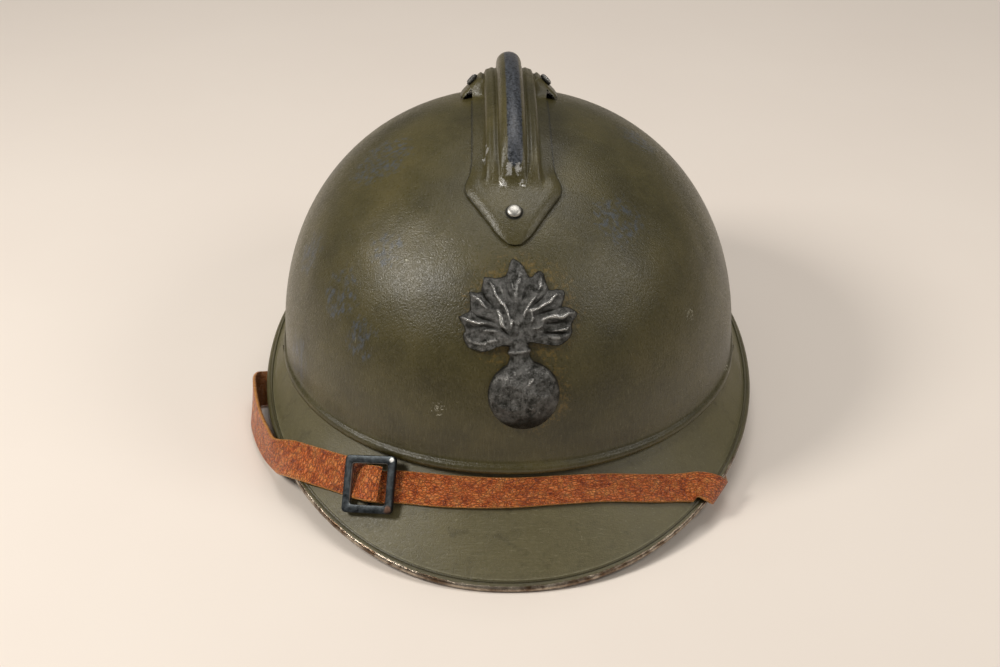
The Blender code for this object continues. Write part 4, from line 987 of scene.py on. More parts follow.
def darkBadgeSteel():
    # Stamped sheet steel that was painted and has rubbed bare: dark, faintly blue, burnished on its ridges, with
    # painted highlights there and painted shade at its edges, creases and underside.
    look = badgeMetal
    finish, add = newMaterial("rubbedBadgeSteel")
    place = add("coordinates").outputs["Object"]
    cloudy, fine = marking(add, place, 3.2, 7.0, 0.72), marking(add, place, 0.8, 4.0, 0.7)
    burnishAndHighlight, edgeShadeAndGrime = (add("attribute", attribute_name=name).outputs["Fac"] for name in ("burnishAndHighlight", "edgeShadeAndGrime"))
    # bright rubbed steel, which also stands in for painted highlights
    rubbed = add("softRange", add("MULTIPLY_ADD", fine, 0.7, burnishAndHighlight), 0.62, 1.30)
    colour = add("mixColours", rubbed, layOver(add, look["dark"], look["light"], cloudy, 0.33, 0.66), look["rubbed"])
    # near-black painted shade along edges, in creases and under the bomb
    colour = layOver(add, colour, paintLook["grimeAndShade"], add("MULTIPLY_ADD", fine, 0.6, edgeShadeAndGrime), 0.75, 1.15, 0.85)
    rough = add("softRange", add("MULTIPLY_ADD", fine, 0.6, rubbed), 0.1, 1.2, 0.48, 0.20)
    bump = add("bump", 1.0, 0.5 * millimetre, add("MULTIPLY_ADD", cloudy, 1.6, fine))
    return setShader(finish, {"Base Color": colour, "Metallic": 0.85, "Roughness": rough, "Normal": bump})


def bareRivetSteel():
    # Soft mild steel wire, headed cold and filed by hand: bright, scratched and a little pitted.
    look = bareMetal
    finish, add = newMaterial("scratchedBareSteel")
    pits = add("noise", add("coordinates").outputs["Object"], look["pits"], 5.0, 0.7)
    tone = add("mixColours", pits, look["dark"], look["light"])
    bump = add("bump", 0.5, 0.15 * millimetre, pits)
    return setShader(finish, {"Base Color": tone, "Metallic": 1.0, "Roughness": look["roughness"], "Normal": bump})


def makeRivetTree():
    # one headed rivet on every seat, turned to the seat's own axis
    tree, ask, add = newTree("rivetsOnSeats", [
        ("Rivet", "Object", None), ("Size", "Float", 1.0), ("Material", "Material", None)])
    turn = add("alignZ", add("carried", "axis", data_type="FLOAT_VECTOR"))
    one = add("object", ask["Rivet"]).outputs["Geometry"]
    endTree(add, add("instances", ask["Geometry"], one, turn, ask["Size"]), ask["Material"])
    return tree


def lathe(name, profile, finish, sides):
    points, faces = [], []
    for radius, height in profile:
        for i in range(sides):
            angle = fullTurn * i / sides
            points.append((radius * math.cos(angle), radius * math.sin(angle), height))
    for i in range(len(profile) - 1):
        for j in range(sides):
            k = (j + 1) % sides
            faces.append((i * sides + j, i * sides + k, (i + 1) * sides + k, (i + 1) * sides + j))
    return tidyMesh(makePiece(name, np.array(points) - overOrigin, faces, finish), sharp=40)


def rivetProfile(kind):  # radius and height from the crown, past the head and down the shank to the tail
    look = rivetLook
    head, shank, tail = look["head"] / 2, look["shank"] / 2, look["tail"] / 2
    end = -crestShape["sheet"] - look["slack"]
    if kind != "side":
        end -= crestShape["panel"] + smallGap + steel["wall"]
    crown = [(share * head, smallGap + look["dome"] - drop) for share, drop in rivetHeads[kind]]
    return crown + [(head, smallGap + 0.4), (0.95 * head, smallGap), (shank, smallGap), (shank, end), (tail, end),
                    (tail, end - 0.6), (0.8 * tail, end - look["tailThick"]), (0, end - look["tailThick"])]


def placeRivets(name, kind, places, finish):
    look = rivetLook
    one = lathe(name + "One", rivetProfile(kind), finish, look["sides"])
    rim = [vertex.co.to_2d().length / (look["head"] / 2 * millimetre) * (vertex.co.z > look["rimFoot"] * millimetre)
           for vertex in one.data.vertices]
    # a bright rim: rubbed steel with a painted highlight
    setNumbers(one.data, "burnishAndHighlight", [max(0.0, 1 - abs(share - look["rimAt"]) / look["rimWidth"]) for share in rim])
    # the middle of each head is darkened: painted shade in the hollow of the side rivets
    setNumbers(one.data, "edgeShadeAndGrime", [float(share < 0.5) for share in rim])
    spots = loopMesh(name + "Seats", [seats[place][0] for place in places], False,
                     {"axis": [seats[place][1] for place in places]})
    piece = grow(name, spots, rivetTree, {"Rivet": one, "Size": 1.0, "Material": finish})
    bpy.data.objects.remove(one)
    handOver(tidyMesh(piece, sharp=40), "bare_rivet_steel", *("rivet_" + place for place in places))


badgeSteel = darkBadgeSteel()
rivetTree = makeRivetTree()
placeRivets("frontRivet", "front", ["front"], bareRivetSteel())
placeRivets("sideRivets", "side", ["left", "right"], badgeSteel)
placeRivets("rearRivet", "rear", ["rear"], badgeSteel)

print("10 badge")

badgeLook = {
    "offset": 5.4, "lean": math.radians(5.6), "bombHeight": 66.5, "bombRadius": 13.9, "bombRelief": 6.8, "rim": 0.5,
    "collarWidth": 8.2, "collarLength": 5.0, "flamesMiddle": (-0.2, 23.8), "flameRelief": 3.2, "flameEdge": 1.1,
    "foot": 0.1, "crownReach": 24, "rimRoll": 1.1, "rimShade": 0.7,  # mm; the rim rolls down over its last millimetre
    "wrinkles": 0.55, "rays": 440, "rings": 46,
}
flameOutline = [  # from the flames' middle: angle from straight up in degrees, reach in mm
    (-147, 5.3), (-131, 5.7), (-118, 7.4), (-115, 9.4), (-114.3, 11.6), (-113, 13.7), (-109.4, 15.7), (-105, 17.7),
    (-100.7, 19.7), (-95.5, 20.4), (-90.3, 20.9), (-86.2, 20.8), (-82.8, 20.0), (-77.7, 20.6), (-75.2, 21.5),
    (-72.9, 22.4), (-70.4, 23.4), (-66.2, 21.9), (-61.9, 20.4), (-58, 20.2), (-52.6, 21.3), (-47.7, 22.6),
    (-44.8, 24.3), (-41.7, 23.1), (-39.4, 21.8), (-35.5, 21.2), (-31.2, 22.6), (-27.2, 24.2), (-24.8, 25.2),
    (-20.2, 24.1), (-15.3, 22.9), (-10.3, 22.7), (-6.2, 22.9), (-2.7, 24.4), (-1.2, 26.7), (0.8, 28.6), (2.5, 29.3),
    (6.3, 28.2), (9.6, 26.9), (12.5, 25.0), (15, 23.2), (18.4, 22.2), (21.1, 22.8), (22.8, 24.5), (25, 25.4),
    (27.2, 25.4), (30.2, 24.8), (32.8, 23.4), (37.4, 21.7), (42.1, 20.5), (45.4, 20.9), (49, 22.3), (54, 23.6),
    (56.8, 23.6), (60.1, 22.6), (63.6, 20.7), (67.5, 19.5), (69.6, 20.9), (73.8, 22.3), (78.8, 23.6), (80.9, 24.2),
    (83.6, 23.5), (86.2, 22.1), (89.5, 21.2), (93.5, 21.1), (96.7, 21.4), (101.6, 20.8), (106.9, 19.5), (112.2, 17.5),
    (114.5, 15.0), (116.2, 12.3), (117.8, 9.8), (121.6, 7.5), (126, 5.8), (140, 5.2)]
flameRidges = [  # height in mm, width in mm, and points across and up from the flames' middle
    (1.0, 0.60, [(-20.9, 7.6), (-18.0, 6.5), (-14.3, 5.4), (-11.3, 5.3)]),
    (0.8, 0.55, [(-16.7, 16.3), (-15.6, 15.6), (-12.8, 13.8), (-12.1, 12.6), (-11.1, 11.2), (-9.3, 10.3)]),
    (0.9, 0.60, [(-10.5, 21.4), (-8.4, 20.2), (-7.4, 18.7), (-6.6, 15.3), (-5.0, 12.6), (-3.9, 11.8), (-3.3, 10.3),
                 (-2.8, 8.0), (-2.2, 5.8), (-2.1, 3.2)]),
    (1.1, 0.75, [(-6.4, 9.4), (-5.8, 7.9), (-5.6, 6.1), (-5.4, 4.6), (-4.4, 2.7)]),
    (0.6, 0.50, [(-0.4, 20.4), (-0.2, 19.2), (0.1, 17.7), (0.7, 16.2)]),
    (0.8, 0.60, [(9.2, 14.2), (7.9, 13.0), (6.2, 11.4), (4.1, 8.7), (3.4, 7.3), (3.0, 5.5)]),
    (1.0, 0.60, [(17.7, 12.1), (16.2, 12.5), (14.5, 11.3), (13.7, 10.4), (12.1, 10.0), (8.2, 8.5), (5.9, 8.5),
                 (4.4, 8.3)]),
    (1.1, 0.80, [(22.2, 4.3), (19.9, 4.5), (18.3, 3.8), (16.4, 3.9), (15.0, 4.8), (13.1, 4.8), (11.2, 4.6),
                 (10.0, 4.1)]),
    (0.8, 0.60, [(20.2, -0.3), (18.6, -1.1), (16.7, -1.0), (12.9, -0.5)]),
    (0.7, 0.55, [(6.2, 7.7), (6.4, 5.4), (5.8, 3.7)]), (0.6, 0.50, [(0.7, 5.5), (0.9, 3.2)]),
    (0.6, 0.60, [(10.2, 2.4), (7.9, 1.5), (5.6, 1.5)]), (0.8, 0.50, [(-1.4, 6.4), (-2.0, 2.8)]),
    (0.5, 1.10, [(11.1, 21.8), (11.0, 19.1), (10.3, 16.6), (9.2, 14.6)]),
    (0.5, 1.20, [(1.5, 27.8), (2.7, 24.9), (3.1, 21.9), (1.6, 18.3), (0.5, 14.3), (0.8, 9.9)]),
    (0.5, 1.10, [(-19.7, 0.3), (-18.0, -1.1), (-15.1, -2.2), (-10.5, -1.7), (-6.6, -0.5), (-3.6, 0.0)]),
    (0.5, 1.00, [(19.1, -3.4), (15.7, -3.7), (12.7, -3.1), (10.1, -2.2)]),
    (0.4, 0.90, [(-5.6, 21.2), (-4.8, 18.5), (-3.9, 15.9), (-3.0, 13.6)]),
    (0.4, 0.90, [(-14.6, 2.9), (-10.9, 2.4), (-7.5, 2.2), (-4.6, 0.9)])]
flameCreases = [  # depth and the same
    (0.9, 0.60, [(-12.7, 19.0), (-11.7, 17.0), (-10.8, 14.8), (-9.1, 12.5), (-6.7, 10.2)]),
    (0.9, 0.60, [(-17.5, 11.0), (-14.8, 8.0), (-11.9, 6.8), (-9.0, 5.9), (-6.9, 4.3)]),
    (0.7, 0.60, [(-2.1, 22.4), (-2.4, 19.1), (-1.6, 16.0), (-0.8, 13.0), (-0.4, 9.6)]),
    (0.7, 0.60, [(6.8, 21.5), (5.7, 17.4), (4.2, 14.2), (2.5, 11.5), (1.4, 8.3)]),
    (0.8, 0.60, [(14.0, 15.2), (10.9, 12.4), (8.0, 10.7), (5.7, 9.6)]),
    (0.9, 0.60, [(18.0, 7.3), (13.7, 7.1), (10.7, 6.9), (7.6, 6.3)]),
    (0.9, 0.60, [(21.1, 0.9), (17.0, 1.9), (13.2, 2.4), (10.6, 2.5)]),
    (0.9, 0.60, [(-20.3, 3.0), (-16.0, 4.0), (-12.2, 4.3), (-8.5, 3.3), (-5.6, 2.0)]),
    (0.9, 0.60, [(20.6, -2.6), (16.6, -2.1), (12.1, -1.1), (9.1, -0.9)]),
    (0.9, 0.60, [(-6.2, 3.9), (-4.5, 1.6), (-2.5, -0.5)]), (0.6, 0.50, [(4.5, -2.4), (3.2, -0.4), (2.3, 2.3)])]
bombDents = [(-5.4, 1.2, 3.6, 0.8), (4.5, -6.5, 4.6, 0.4), (3.0, 5.0, 2.6, 0.4), (-7.5, -6.0, 3.0, 0.4),
             (7.5, 3.0, 2.6, 0.4)]  # across, up, radius and depth in mm


def frontPoint(across, height):  # point of the bowl's front at a height, by halving
    near, far = np.full_like(across, -steel["bowlFront"]), np.zeros_like(across)
    for _ in range(34):
        middle = (near + far) / 2
        under = bowlHeight(across, middle) < height
        near, far = np.where(under, middle, near), np.where(under, far, middle)
    return far


def overFront(across, up, relief):  # a point of the badge, along its own leaning axis
    across, up, relief = np.broadcast_arrays(*(np.asarray(value, float) for value in (across, up, relief)))
    lean = badgeLook["lean"]
    leanAcross = across * math.cos(lean) - up * math.sin(lean)
    leanUp = up * math.cos(lean) + across * math.sin(lean)
    x, height = badgeLook["offset"] + leanAcross, np.full_like(across, badgeLook["bombHeight"])
    steps = 12
    for _ in range(steps):
        y = frontPoint(x, height)
        height = height + leanUp / steps * np.linalg.norm(bowlNormal(x, y)[..., :2], axis=-1)
    y = frontPoint(x, height)
    return np.stack([x, y, height], axis=-1) + bowlNormal(x, y) * (smallGap + relief)[..., None]


def nearLines(across, up, lines):  # strength by distance from the nearest point of each bent line, ends tapered
    total = np.zeros_like(across)
    for height, width, points in lines:
        apart = np.full_like(across, 99.0)
        taper = np.ones_like(across)
        for i, ((x0, y0), (x1, y1)) in enumerate(zip(points[:-1], points[1:])):
            span = (x1 - x0) ** 2 + (y1 - y0) ** 2
            t = np.clip(((across - x0) * (x1 - x0) + (up - y0) * (y1 - y0)) / span, 0, 1)
            here = np.hypot(across - x0 - t * (x1 - x0), up - y0 - t * (y1 - y0))
            closer = here < apart
            apart = np.where(closer, here, apart)
            along = (i + t) / (len(points) - 1)
            taper = np.where(closer, 0.35 + 0.65 * np.sin(math.pi * np.clip(along, 0.05, 0.95)), taper)
        total = np.maximum(total, height * taper * np.exp(-(apart / width) ** 2))
    return total


def unevenness(across, up, scale, layer):  # a layer of noise over a grid, with scale waves in a millimetre
    waves = [noise.noise(Vector((a * scale, b * scale, layer))) for a, b in zip(across.ravel(), up.ravel())]
    return np.array(waves).reshape(across.shape)


def badgePart(name, across, up, relief, foot, burnishAndHighlight, grimeAndPaintedLight, wrap=True):
    piece = makePiece(name, *gridSheet(overFront(across, up, relief), overFront(across, up, foot), wrap), badgeSteel)
    setSheet(piece, "burnishAndHighlight", burnishAndHighlight + 0 * relief, 0.0)
    setSheet(piece, "edgeShadeAndGrime", grimeAndPaintedLight + 0 * relief, 1.0)
    return tidyMesh(piece, sharp=60)


def makeFlames():
    look = badgeLook
    middleAcross, middleUp = look["flamesMiddle"]
    table = np.array(flameOutline)
    angles = np.linspace(-180, 180, look["rays"], endpoint=False)
    reach = np.interp(angles, table[:, 0], table[:, 1], period=360)
    rings = np.concatenate([[0.015], np.linspace(0.05, 0.955, look["rings"]), [0.975, 0.99, 1.0]])[:, None]
    way = np.radians(angles)[None, :]
    x, y = rings * reach * np.sin(way), rings * reach * np.cos(way)
    crown = mix(look["flameRelief"], look["flameEdge"], np.clip(np.hypot(x, y - 2) / look["crownReach"], 0, 1) ** 0.9)
    ridges, creases = nearLines(x, y, flameRidges), nearLines(x, y, flameCreases)
    wrinkles = unevenness(x, y, look["wrinkles"], 7.0)
    inset = (1 - rings) * reach
    relief = crown + 0.95 * ridges - 0.85 * creases + 0.35 * wrinkles
    relief = np.maximum(relief, 0.8) * mix(0.55, 1.0, np.sqrt(np.clip(inset / look["rimRoll"], 0, 1)))
    # the ridges' bright colour is rubbed steel and painted highlight
    burnishAndHighlight = np.clip(1.2 * ridges - 0.10 + 0.45 * np.clip(wrinkles, 0, 1), 0, 1)
    # painted shade in the creases and round the flames' rim
    grimeAndPaintedLight = np.maximum(creases, np.exp(-(inset / look["rimShade"]) ** 2))
    return badgePart("badgeFlames", middleAcross + x, middleUp + y, relief, look["foot"], burnishAndHighlight, grimeAndPaintedLight)


def makeBomb():
    look = badgeLook
    shares = np.sin(np.linspace(0.01, math.pi / 2, 60))[:, None]
    way = np.linspace(0, fullTurn, 180, endpoint=False)[None, :]
    size = look["bombRadius"] * shares
    across, up = size * np.sin(way), size * np.cos(way)
    relief = look["bombRelief"] * np.sqrt(np.clip(1 - shares ** 2, 0, 1)) + look["rim"]
    for x, y, radius, depth in bombDents:  # each dent has a low wall round it
        apart = np.hypot(across - x, up - y) / radius
        relief = relief - depth * np.exp(-apart ** 2) + 0.4 * depth * np.exp(-((apart - 1.35) / 0.3) ** 2)
    rough = 0.7 * unevenness(across, up, 0.42, 3.0) + 0.5 * unevenness(across, up, 1.0, 5.0)
    relief = relief + 0.42 * rough * (1 - shares ** 4)
    # rubbed steel on the bumps, and a painted highlight in a band across the upper part
    burnishAndHighlight = np.clip(0.75 * rough, 0, 1) + 0.30 * np.exp(-((up - 9) / 4) ** 2)
    below = 0.95 * smooth(0.05 - up / look["bombRadius"])  # painted shade darkens the underside
    # painted shade round the bomb's rim as well
    return badgePart("badgeBomb", across, up, relief, 0.0, burnishAndHighlight, np.maximum(shares ** 12, below))


def makeCollar():
    look = badgeLook
    half, start = look["collarWidth"] / 2, look["bombRadius"] - 0.55 * look["collarLength"]
    steps = np.linspace(0, 1, 44)[:, None]
    share = np.sin(np.linspace(-math.pi / 2, math.pi / 2, 33))[None, :]
    ringBead = np.exp(-((steps - 0.60) / 0.085) ** 2)
    flare = np.exp(-(steps / 0.26) ** 2)
    up = start + 2.1 * look["collarLength"] * steps + 0 * share
    across = share * half * (0.92 + 0.20 * ringBead + 0.55 * flare)
    relief = (3.3 + 0.9 * ringBead + 1.2 * flare) * (0.12 + 0.88 * np.sqrt(np.clip(1 - share ** 2, 0, 1)))
    # painted shade darkens the collar's sides, where it meets the bowl
    return badgePart("badgeCollar", across, up, relief, look["foot"] / 2, 0.55 * ringBead, np.abs(share) ** 6, False)


badge = joinPieces([makeFlames(), makeBomb(), makeCollar()], "grenadeBadge")
handOver(shadeSmooth(badge, 60), "dark_badge_steel", "badge")

print("11 leather strap")

strapLook = {"wide": 15.8, "narrow": 13.4, "leather": 1.6, "bulge": 6.2, "space": 1.08, "step": 1.0}
buckleLook = {
    "turn": math.radians(-31.4), "share": 0.396, "halfTurn": math.radians(5.3), "slope": 0.090,
    "twist": math.radians(18.6), "tilt": math.radians(7.0), "length": 22.7, "breadth": 23.4, "bar": 3.3, "thick": 2.0,
    "corner": 1.8, "stand": 1.2, "centreBar": 1.3, "centreStand": 0.65, "centreBend": 0.8,
}
ringLook = {
    "turn": math.radians(86), "leftPull": math.radians(66), "rightPull": math.radians(40), "wire": 2.0, "drop": 13.0,
    "height": 40.0, "stand": 0.8, "plate": 1.2, "plateHigh": 6.4,
}
# the strap's way, from the buckle outwards; turns are in degrees from the front, lengths in mm or shares of a size
rightStrap = [  # turn, share of the sheet's depth and of the strap's width
    (-13, 0.225, 0.98), (0, 0.20, 0.90), (12, 0.205, 0.88), (22, 0.27, 0.86), (33, 0.45, 0.88), (42, 0.68, 0.92)]
# in the buckle: place along it, rise over its bar, shift downwards, width
leftTuck = [(0.32, 0.72, 0.000, 0.93), (0.13, 0.93, 0.002, 0.93), (-0.10, 1.0, 0.004, 0.93), (-0.33, 0.93, 0.008, 0.93),
            (-0.62, 0.44, 0.026, 0.95), (-0.90, 0.0, 0.044, 0.98), (-1.25, 0.0, 0.068, 1.0)]
rightTuck = [(-0.31, 0.82, -0.003, 1.0), (-0.22, 0.96, -0.006, 1.0), (-0.09, 1.0, -0.009, 1.0),
             (0.11, 0.92, -0.011, 1.0), (0.42, 0.26, -0.011, 1.0), (0.70, 0.0, -0.011, 1.0), (1.10, 0.0, -0.011, 1.0)]
leftOver = [(-47, 0.605, 0.3), (-54.5, 0.835, 1.0)]  # turn, share of the depth, lift
# beside the edge: turn, how far out and up, how its face leans outwards and backwards
outerStrap = [(-62.0, 0.50, 0.66, -0.20, 0.00), (-66.0, 0.78, 0.61, -0.22, 0.00), (-70.5, 1.00, 0.585, -0.22, 0.03),
              (-75.0, 1.15, 0.565, -0.20, 0.08), (-78.6, 1.15, 0.54, -0.10, 0.22), (-81.0, 1.02, 0.51, 0.06, 0.42),
              (-82.3, 0.70, 0.465, 0.16, 0.65), (-82.6, 0.28, 0.43, 0.10, 0.90)]
leftUnder = [(0.958, 1.11, 0.43, -1.246), (0.915, 1.01, 0.70, -2.530)]  # out, forwards, height, lean
# round the edge: turn, and how far out and up from the edge's middle
rightFold = [(47.3, -1.35, 0.92), (49.2, 0.0, 1.0), (50.2, 0.72, 0.72), (51.2, 1.0, 0.0), (52.2, 0.74, -0.78),
             (53.2, 0.0, -1.12), (55.1, -1.35, -1.12)]
rightUnder = [(59, 0.72, 2.25), (67, 0.62, 2.25)]  # turn, share of the depth, drop
foldWidth, foldSlack = 1.15, 0.6
upAxis = np.array([0.0, 0.0, 1.0])


def strapHeights():  # the leather's middle over the sheet's middle: lying, over the bar, and over both
    lying = steel["sheet"] / 2 + smallGap + strapLook["leather"] / 2
    bar = lying + buckleLook["centreStand"]
    overBar = bar + buckleLook["centreBar"] / 2 + smallGap + strapLook["leather"] / 2
    return lying, bar, overBar, overBar + strapLook["leather"] + strapLook["space"]


def onBrim(turn, share, lift, width=1.0):  # a knot of the strap: its point, face, width and ruling
    return brimPoint(turn, share, lift), brimNormal(np.asarray(turn, float), np.asarray(share, float)), width, None


def inBuckle(along, rise, shift, width, low, high):
    turn = buckleLook["turn"] + along * buckleLook["halfTurn"]
    share = buckleLook["share"] - along * buckleLook["slope"] - shift
    return onBrim(turn, share, mix(low, high, rise), width)


def besideBrim(turn, out, height, leanOut, leanBack):
    half = steel["brimLength"] / 2
    edge = oval(np.asarray(turn), steel["brimWidth"] / 2, half, half, steel["brimPower"])
    outward = unit(edge)
    point = edge + outward * (strapLook["bulge"] - strapLook["leather"] / 2) * out
    point[2] = strapLook["wide"] * height
    return point, outward, 1.0, unit(np.array([leanOut, -leanBack, -1.0]))


def ringFrame(side):
    turn, step = side * ringLook["turn"], math.radians(1.0)
    base = basePoint(np.asarray(turn))
    roundIt = basePoint(np.asarray(turn + step)) - basePoint(np.asarray(turn - step))
    inward = unit(np.array([-roundIt[1], roundIt[0], 0.0]))
    pullTurn = ringLook["leftPull"] if side < 0 else ringLook["rightPull"]
    pull = np.cross(upAxis, inward) * side * math.cos(pullTurn) - upAxis * math.sin(pullTurn)
    rise = (ringLook["height"] + ringLook["plateHigh"] - base[2]) / (steel["bowlTop"] - base[2])
    ring = (1 - rise ** steel["risePower"]) ** (1 / steel["roundPower"])
    seat = np.array([base[0] * ring, base[1] * ring, ringLook["height"]]) + inward * (
        steel["wall"] + ringLook["stand"] + ringLook["wire"])
    return seat + pull * ringLook["drop"] + inward * ringLook["plate"], pull, inward


def atRing(side, away, alongPull, turnIn=0.0):
    bar, pull, inward = ringFrame(side)
    behind = ringLook["wire"] / 2 + smallGap + strapLook["leather"] / 2
    point = bar + pull * (alongPull * ringLook["drop"]) - inward * behind * away
    return point, unit(inward - upAxis * turnIn), 1.0, None


def strapPath(knots, step):
    # ruled knots, then points close together on a smooth curve through them
    ruled = []
    for i, (point, normal, share, ruling) in enumerate(knots):
        if ruling is None:
            along = knots[min(i + 1, len(knots) - 1)][0] - knots[max(i - 1, 0)][0]
            ruling = unit(np.cross(normal, along))
        ruled.append(np.concatenate([point, ruling, [share]]))
    ruled = np.array(ruled)
    reach = alongPath(ruled[:, :3])
    last, stations = len(ruled) - 1, []
    for i in range(last):
        span = reach[i + 1] - reach[i]
        count = max(3, math.ceil(span / step))
        low, high = max(i - 1, 0), min(i + 2, last)
        leave = (ruled[i + 1] - ruled[low]) * (span / (reach[i + 1] - reach[low]))
        arrive = (ruled[high] - ruled[i]) * (span / (reach[high] - reach[i]))
        for n in range(count + (i == last - 1)):
            s = n / count
            stations.append(ruled[i] * (2 * s**3 - 3 * s**2 + 1) + leave * (s**3 - 2 * s**2 + s)
                            + ruled[i + 1] * (3 * s**2 - 2 * s**3) + arrive * (s**3 - s**2))
    return np.array(stations)


def strapSection():  # across as a share of half the width, up in mm; the seam is on the underside
    half = strapLook["leather"] / 2
    side = [(0.965, -0.88 * half), (0.99, -0.6 * half), (1.0, 0.0), (0.99, 0.6 * half), (0.965, 0.88 * half)]
    points = [(out, -half) for out in np.linspace(-0.93, 0.93, 15)] + side
    return points + [(-out, -up) for out, up in points]


def makeStrap(name, knots, width, finish):
    path = strapPath(knots, strapLook["step"])
    points, ruling, share = path[:, :3], unit(path[:, 3:6]), path[:, 6]
    tangent = np.gradient(points, axis=0)
    rise = unit(np.cross(tangent, ruling))
    wobble = np.array([1 + 0.012 * noise.noise(Vector((i * 0.11, width, 0.0))) for i in range(len(points))])
    piece = sweep(name, points, ruling * (width * share * wobble / 2)[:, None], rise, strapSection(), finish, False)
    return tidyMesh(piece, sharp=60)


leatherLook = {
    "light": "F09A50", "middle": "DC7030", "dark": "96401A", "crack": "54200C", "glossHighlight": "FFDDBB", "stain": "33200F",
    "cutEdge": "CC8B48", "raw": "9A5F2F",
    "grain": 0.5, "halfWidth": 7.4,  # mm; one half width for both ends
}
stainSpots = [((-70.0, -107.0, 16.0), 9), ((-35.0, -128.0, 26.0), 6)]  # place in mm and radius


def strapLeather(name, cellLong, cellHigh):
    # Vegetable-tanned cowhide, dried and crackled: glossy where handled, with pale specks of painted highlight, darker
    # stains, fine wrinkles across and along, and a paler fibrous cut edge; the flesh side is matt and raw.
    look = leatherLook
    finish, add = newMaterial(name)
    place = add("coordinates").outputs["Object"]
    swept = add("split", add("attribute", attribute_name="sweepPlace").outputs["Vector"]).outputs
    flat = add("join", swept["X"], add("MULTIPLY", swept["Y"], look["halfWidth"]))  # mm along and across the strap
    tone = setStops(add("ramp", add("noise", flat, 0.22, 6.0, 0.68)),
                    [(0.34, look["dark"]), (0.47, look["middle"]), (0.66, look["light"])])
    warp = add("noise", flat, 0.9, 4.0).outputs["Color"]
    bent = add("vectorMath", warp, (0.8, 0.8, 0.0), flat, operation="MULTIPLY_ADD")

    def cracks(x, y, width):  # 0 in a crack, 1 on the skin between
        return add("softRange", add("cells", add("mapping", bent, (x, y, 1.0)), 1.0), 0.0, width)

    skin = add("MULTIPLY", cracks(1 / cellLong, 1 / cellHigh, 0.22), cracks(0.4 / cellLong, 0.5 / cellHigh, 0.08))
    fine = add("noise", flat, 1 / look["grain"], 5.0, 0.75)
    wrinkles = add("noise", add("mapping", flat, (0.16, 1.5, 1.0)), 1.0, 5.0, 0.7)
    colour = add("mixColours", add("softRange", skin, 0.05, 0.40, 0.72, 0.0), tone, look["crack"])
    colour = layOver(add, colour, look["dark"], fine, 0.40, 0.28, 0.55)
    # painted highlight: pale specks on the raised skin
    colour = layOver(add, colour, look["glossHighlight"], add("MULTIPLY", fine, skin), 0.55, 0.64, 0.6)
    stained = add("MULTIPLY", nearSpots(add, place, stainSpots), add("softRange", wrinkles, 0.35, 0.6, 0.3, 1.0))
    colour = add("mixColours", add("MULTIPLY", stained, 0.75), colour, look["stain"])
    edge = add("MULTIPLY_ADD", fine, 0.10, add("ABSOLUTE", swept["Y"]))
    colour = layOver(add, colour, look["cutEdge"], edge, 0.97, 1.03)
    colour = add("mixColours", add("range", swept["Z"], 0.2, -0.6), colour, look["raw"])
    height = add("MULTIPLY_ADD", fine, 1.2, add("MULTIPLY_ADD", wrinkles, 2.0, skin))
    return setShader(finish, {
        "Base Color": colour, "Roughness": add("softRange", fine, 0.36, 0.64, 0.42, 0.15), "IOR": 1.5,
        "Normal": add("bump", 1.0, 0.42 * millimetre, height)})


wideLeather = strapLeather("crackledWideLeather", 1.0, 2.2)
narrowLeather = strapLeather("crackledNarrowLeather", 1.9, 1.0)


def leftKnots():
    lying, _, _, top = strapHeights()
    knots = [inBuckle(*row, lying, top) for row in leftTuck]
    knots += [onBrim(math.radians(turn), share, lying + lift * strapLook["leather"]) for turn, share, lift in leftOver]
    knots += [besideBrim(math.radians(row[0]), *row[1:]) for row in outerStrap]
    for out, forward, height, lean in leftUnder:
        point = np.array([-out * steel["brimWidth"] / 2, -forward * strapLook["wide"], height * strapLook["wide"]])
        knots.append((point, -upAxis, 1.0, unit(np.array([0.0, lean, -1.0]))))
    return knots + [atRing(-1, 0.9, 0.62, 0.15), atRing(-1, 1.0, 0.23), atRing(-1, 1.0, -0.15)]


def rightKnots():
    lying, _, over, _ = strapHeights()
    knots = [inBuckle(*row, lying, over) for row in rightTuck]
    knots += [onBrim(math.radians(turn), share, lying, width) for turn, share, width in rightStrap]
    clear = steel["bindingRadius"] + smallGap + strapLook["leather"] / 2 + foldSlack
    step = math.radians(1.0)
    for turn, out, up in rightFold:
        way = math.radians(turn)
        _, edge, along, upward = brimFrame(np.asarray(way))
        tangent = unit(brimFrame(np.asarray(way + step))[1] - brimFrame(np.asarray(way - step))[1])
        knots.append((edge + (along * out + upward * up) * clear, along, foldWidth, tangent))
    for turn, share, drop in rightUnder:
        point, normal, width, _ = onBrim(math.radians(turn), share, -drop * strapLook["leather"])
        knots.append((point, -normal, width, None))
    return knots + [atRing(1, 0.9, 1.0, 0.25), atRing(1, 1.0, 0.31), atRing(1, 1.0, -0.15)]


handOver(makeStrap("strapWideEnd", leftKnots(), strapLook["wide"], wideLeather), "brown_leather", "strap_left")
handOver(makeStrap("strapNarrowEnd", rightKnots(), strapLook["narrow"], narrowLeather), "brown_leather", "strap_right")

print("12 buckle")

buckleMetal = {"dark": "1B1E20", "light": "3C4144", "rubbed": "8F9494", "bright": "A9A8A4", "copper": "63483A"}


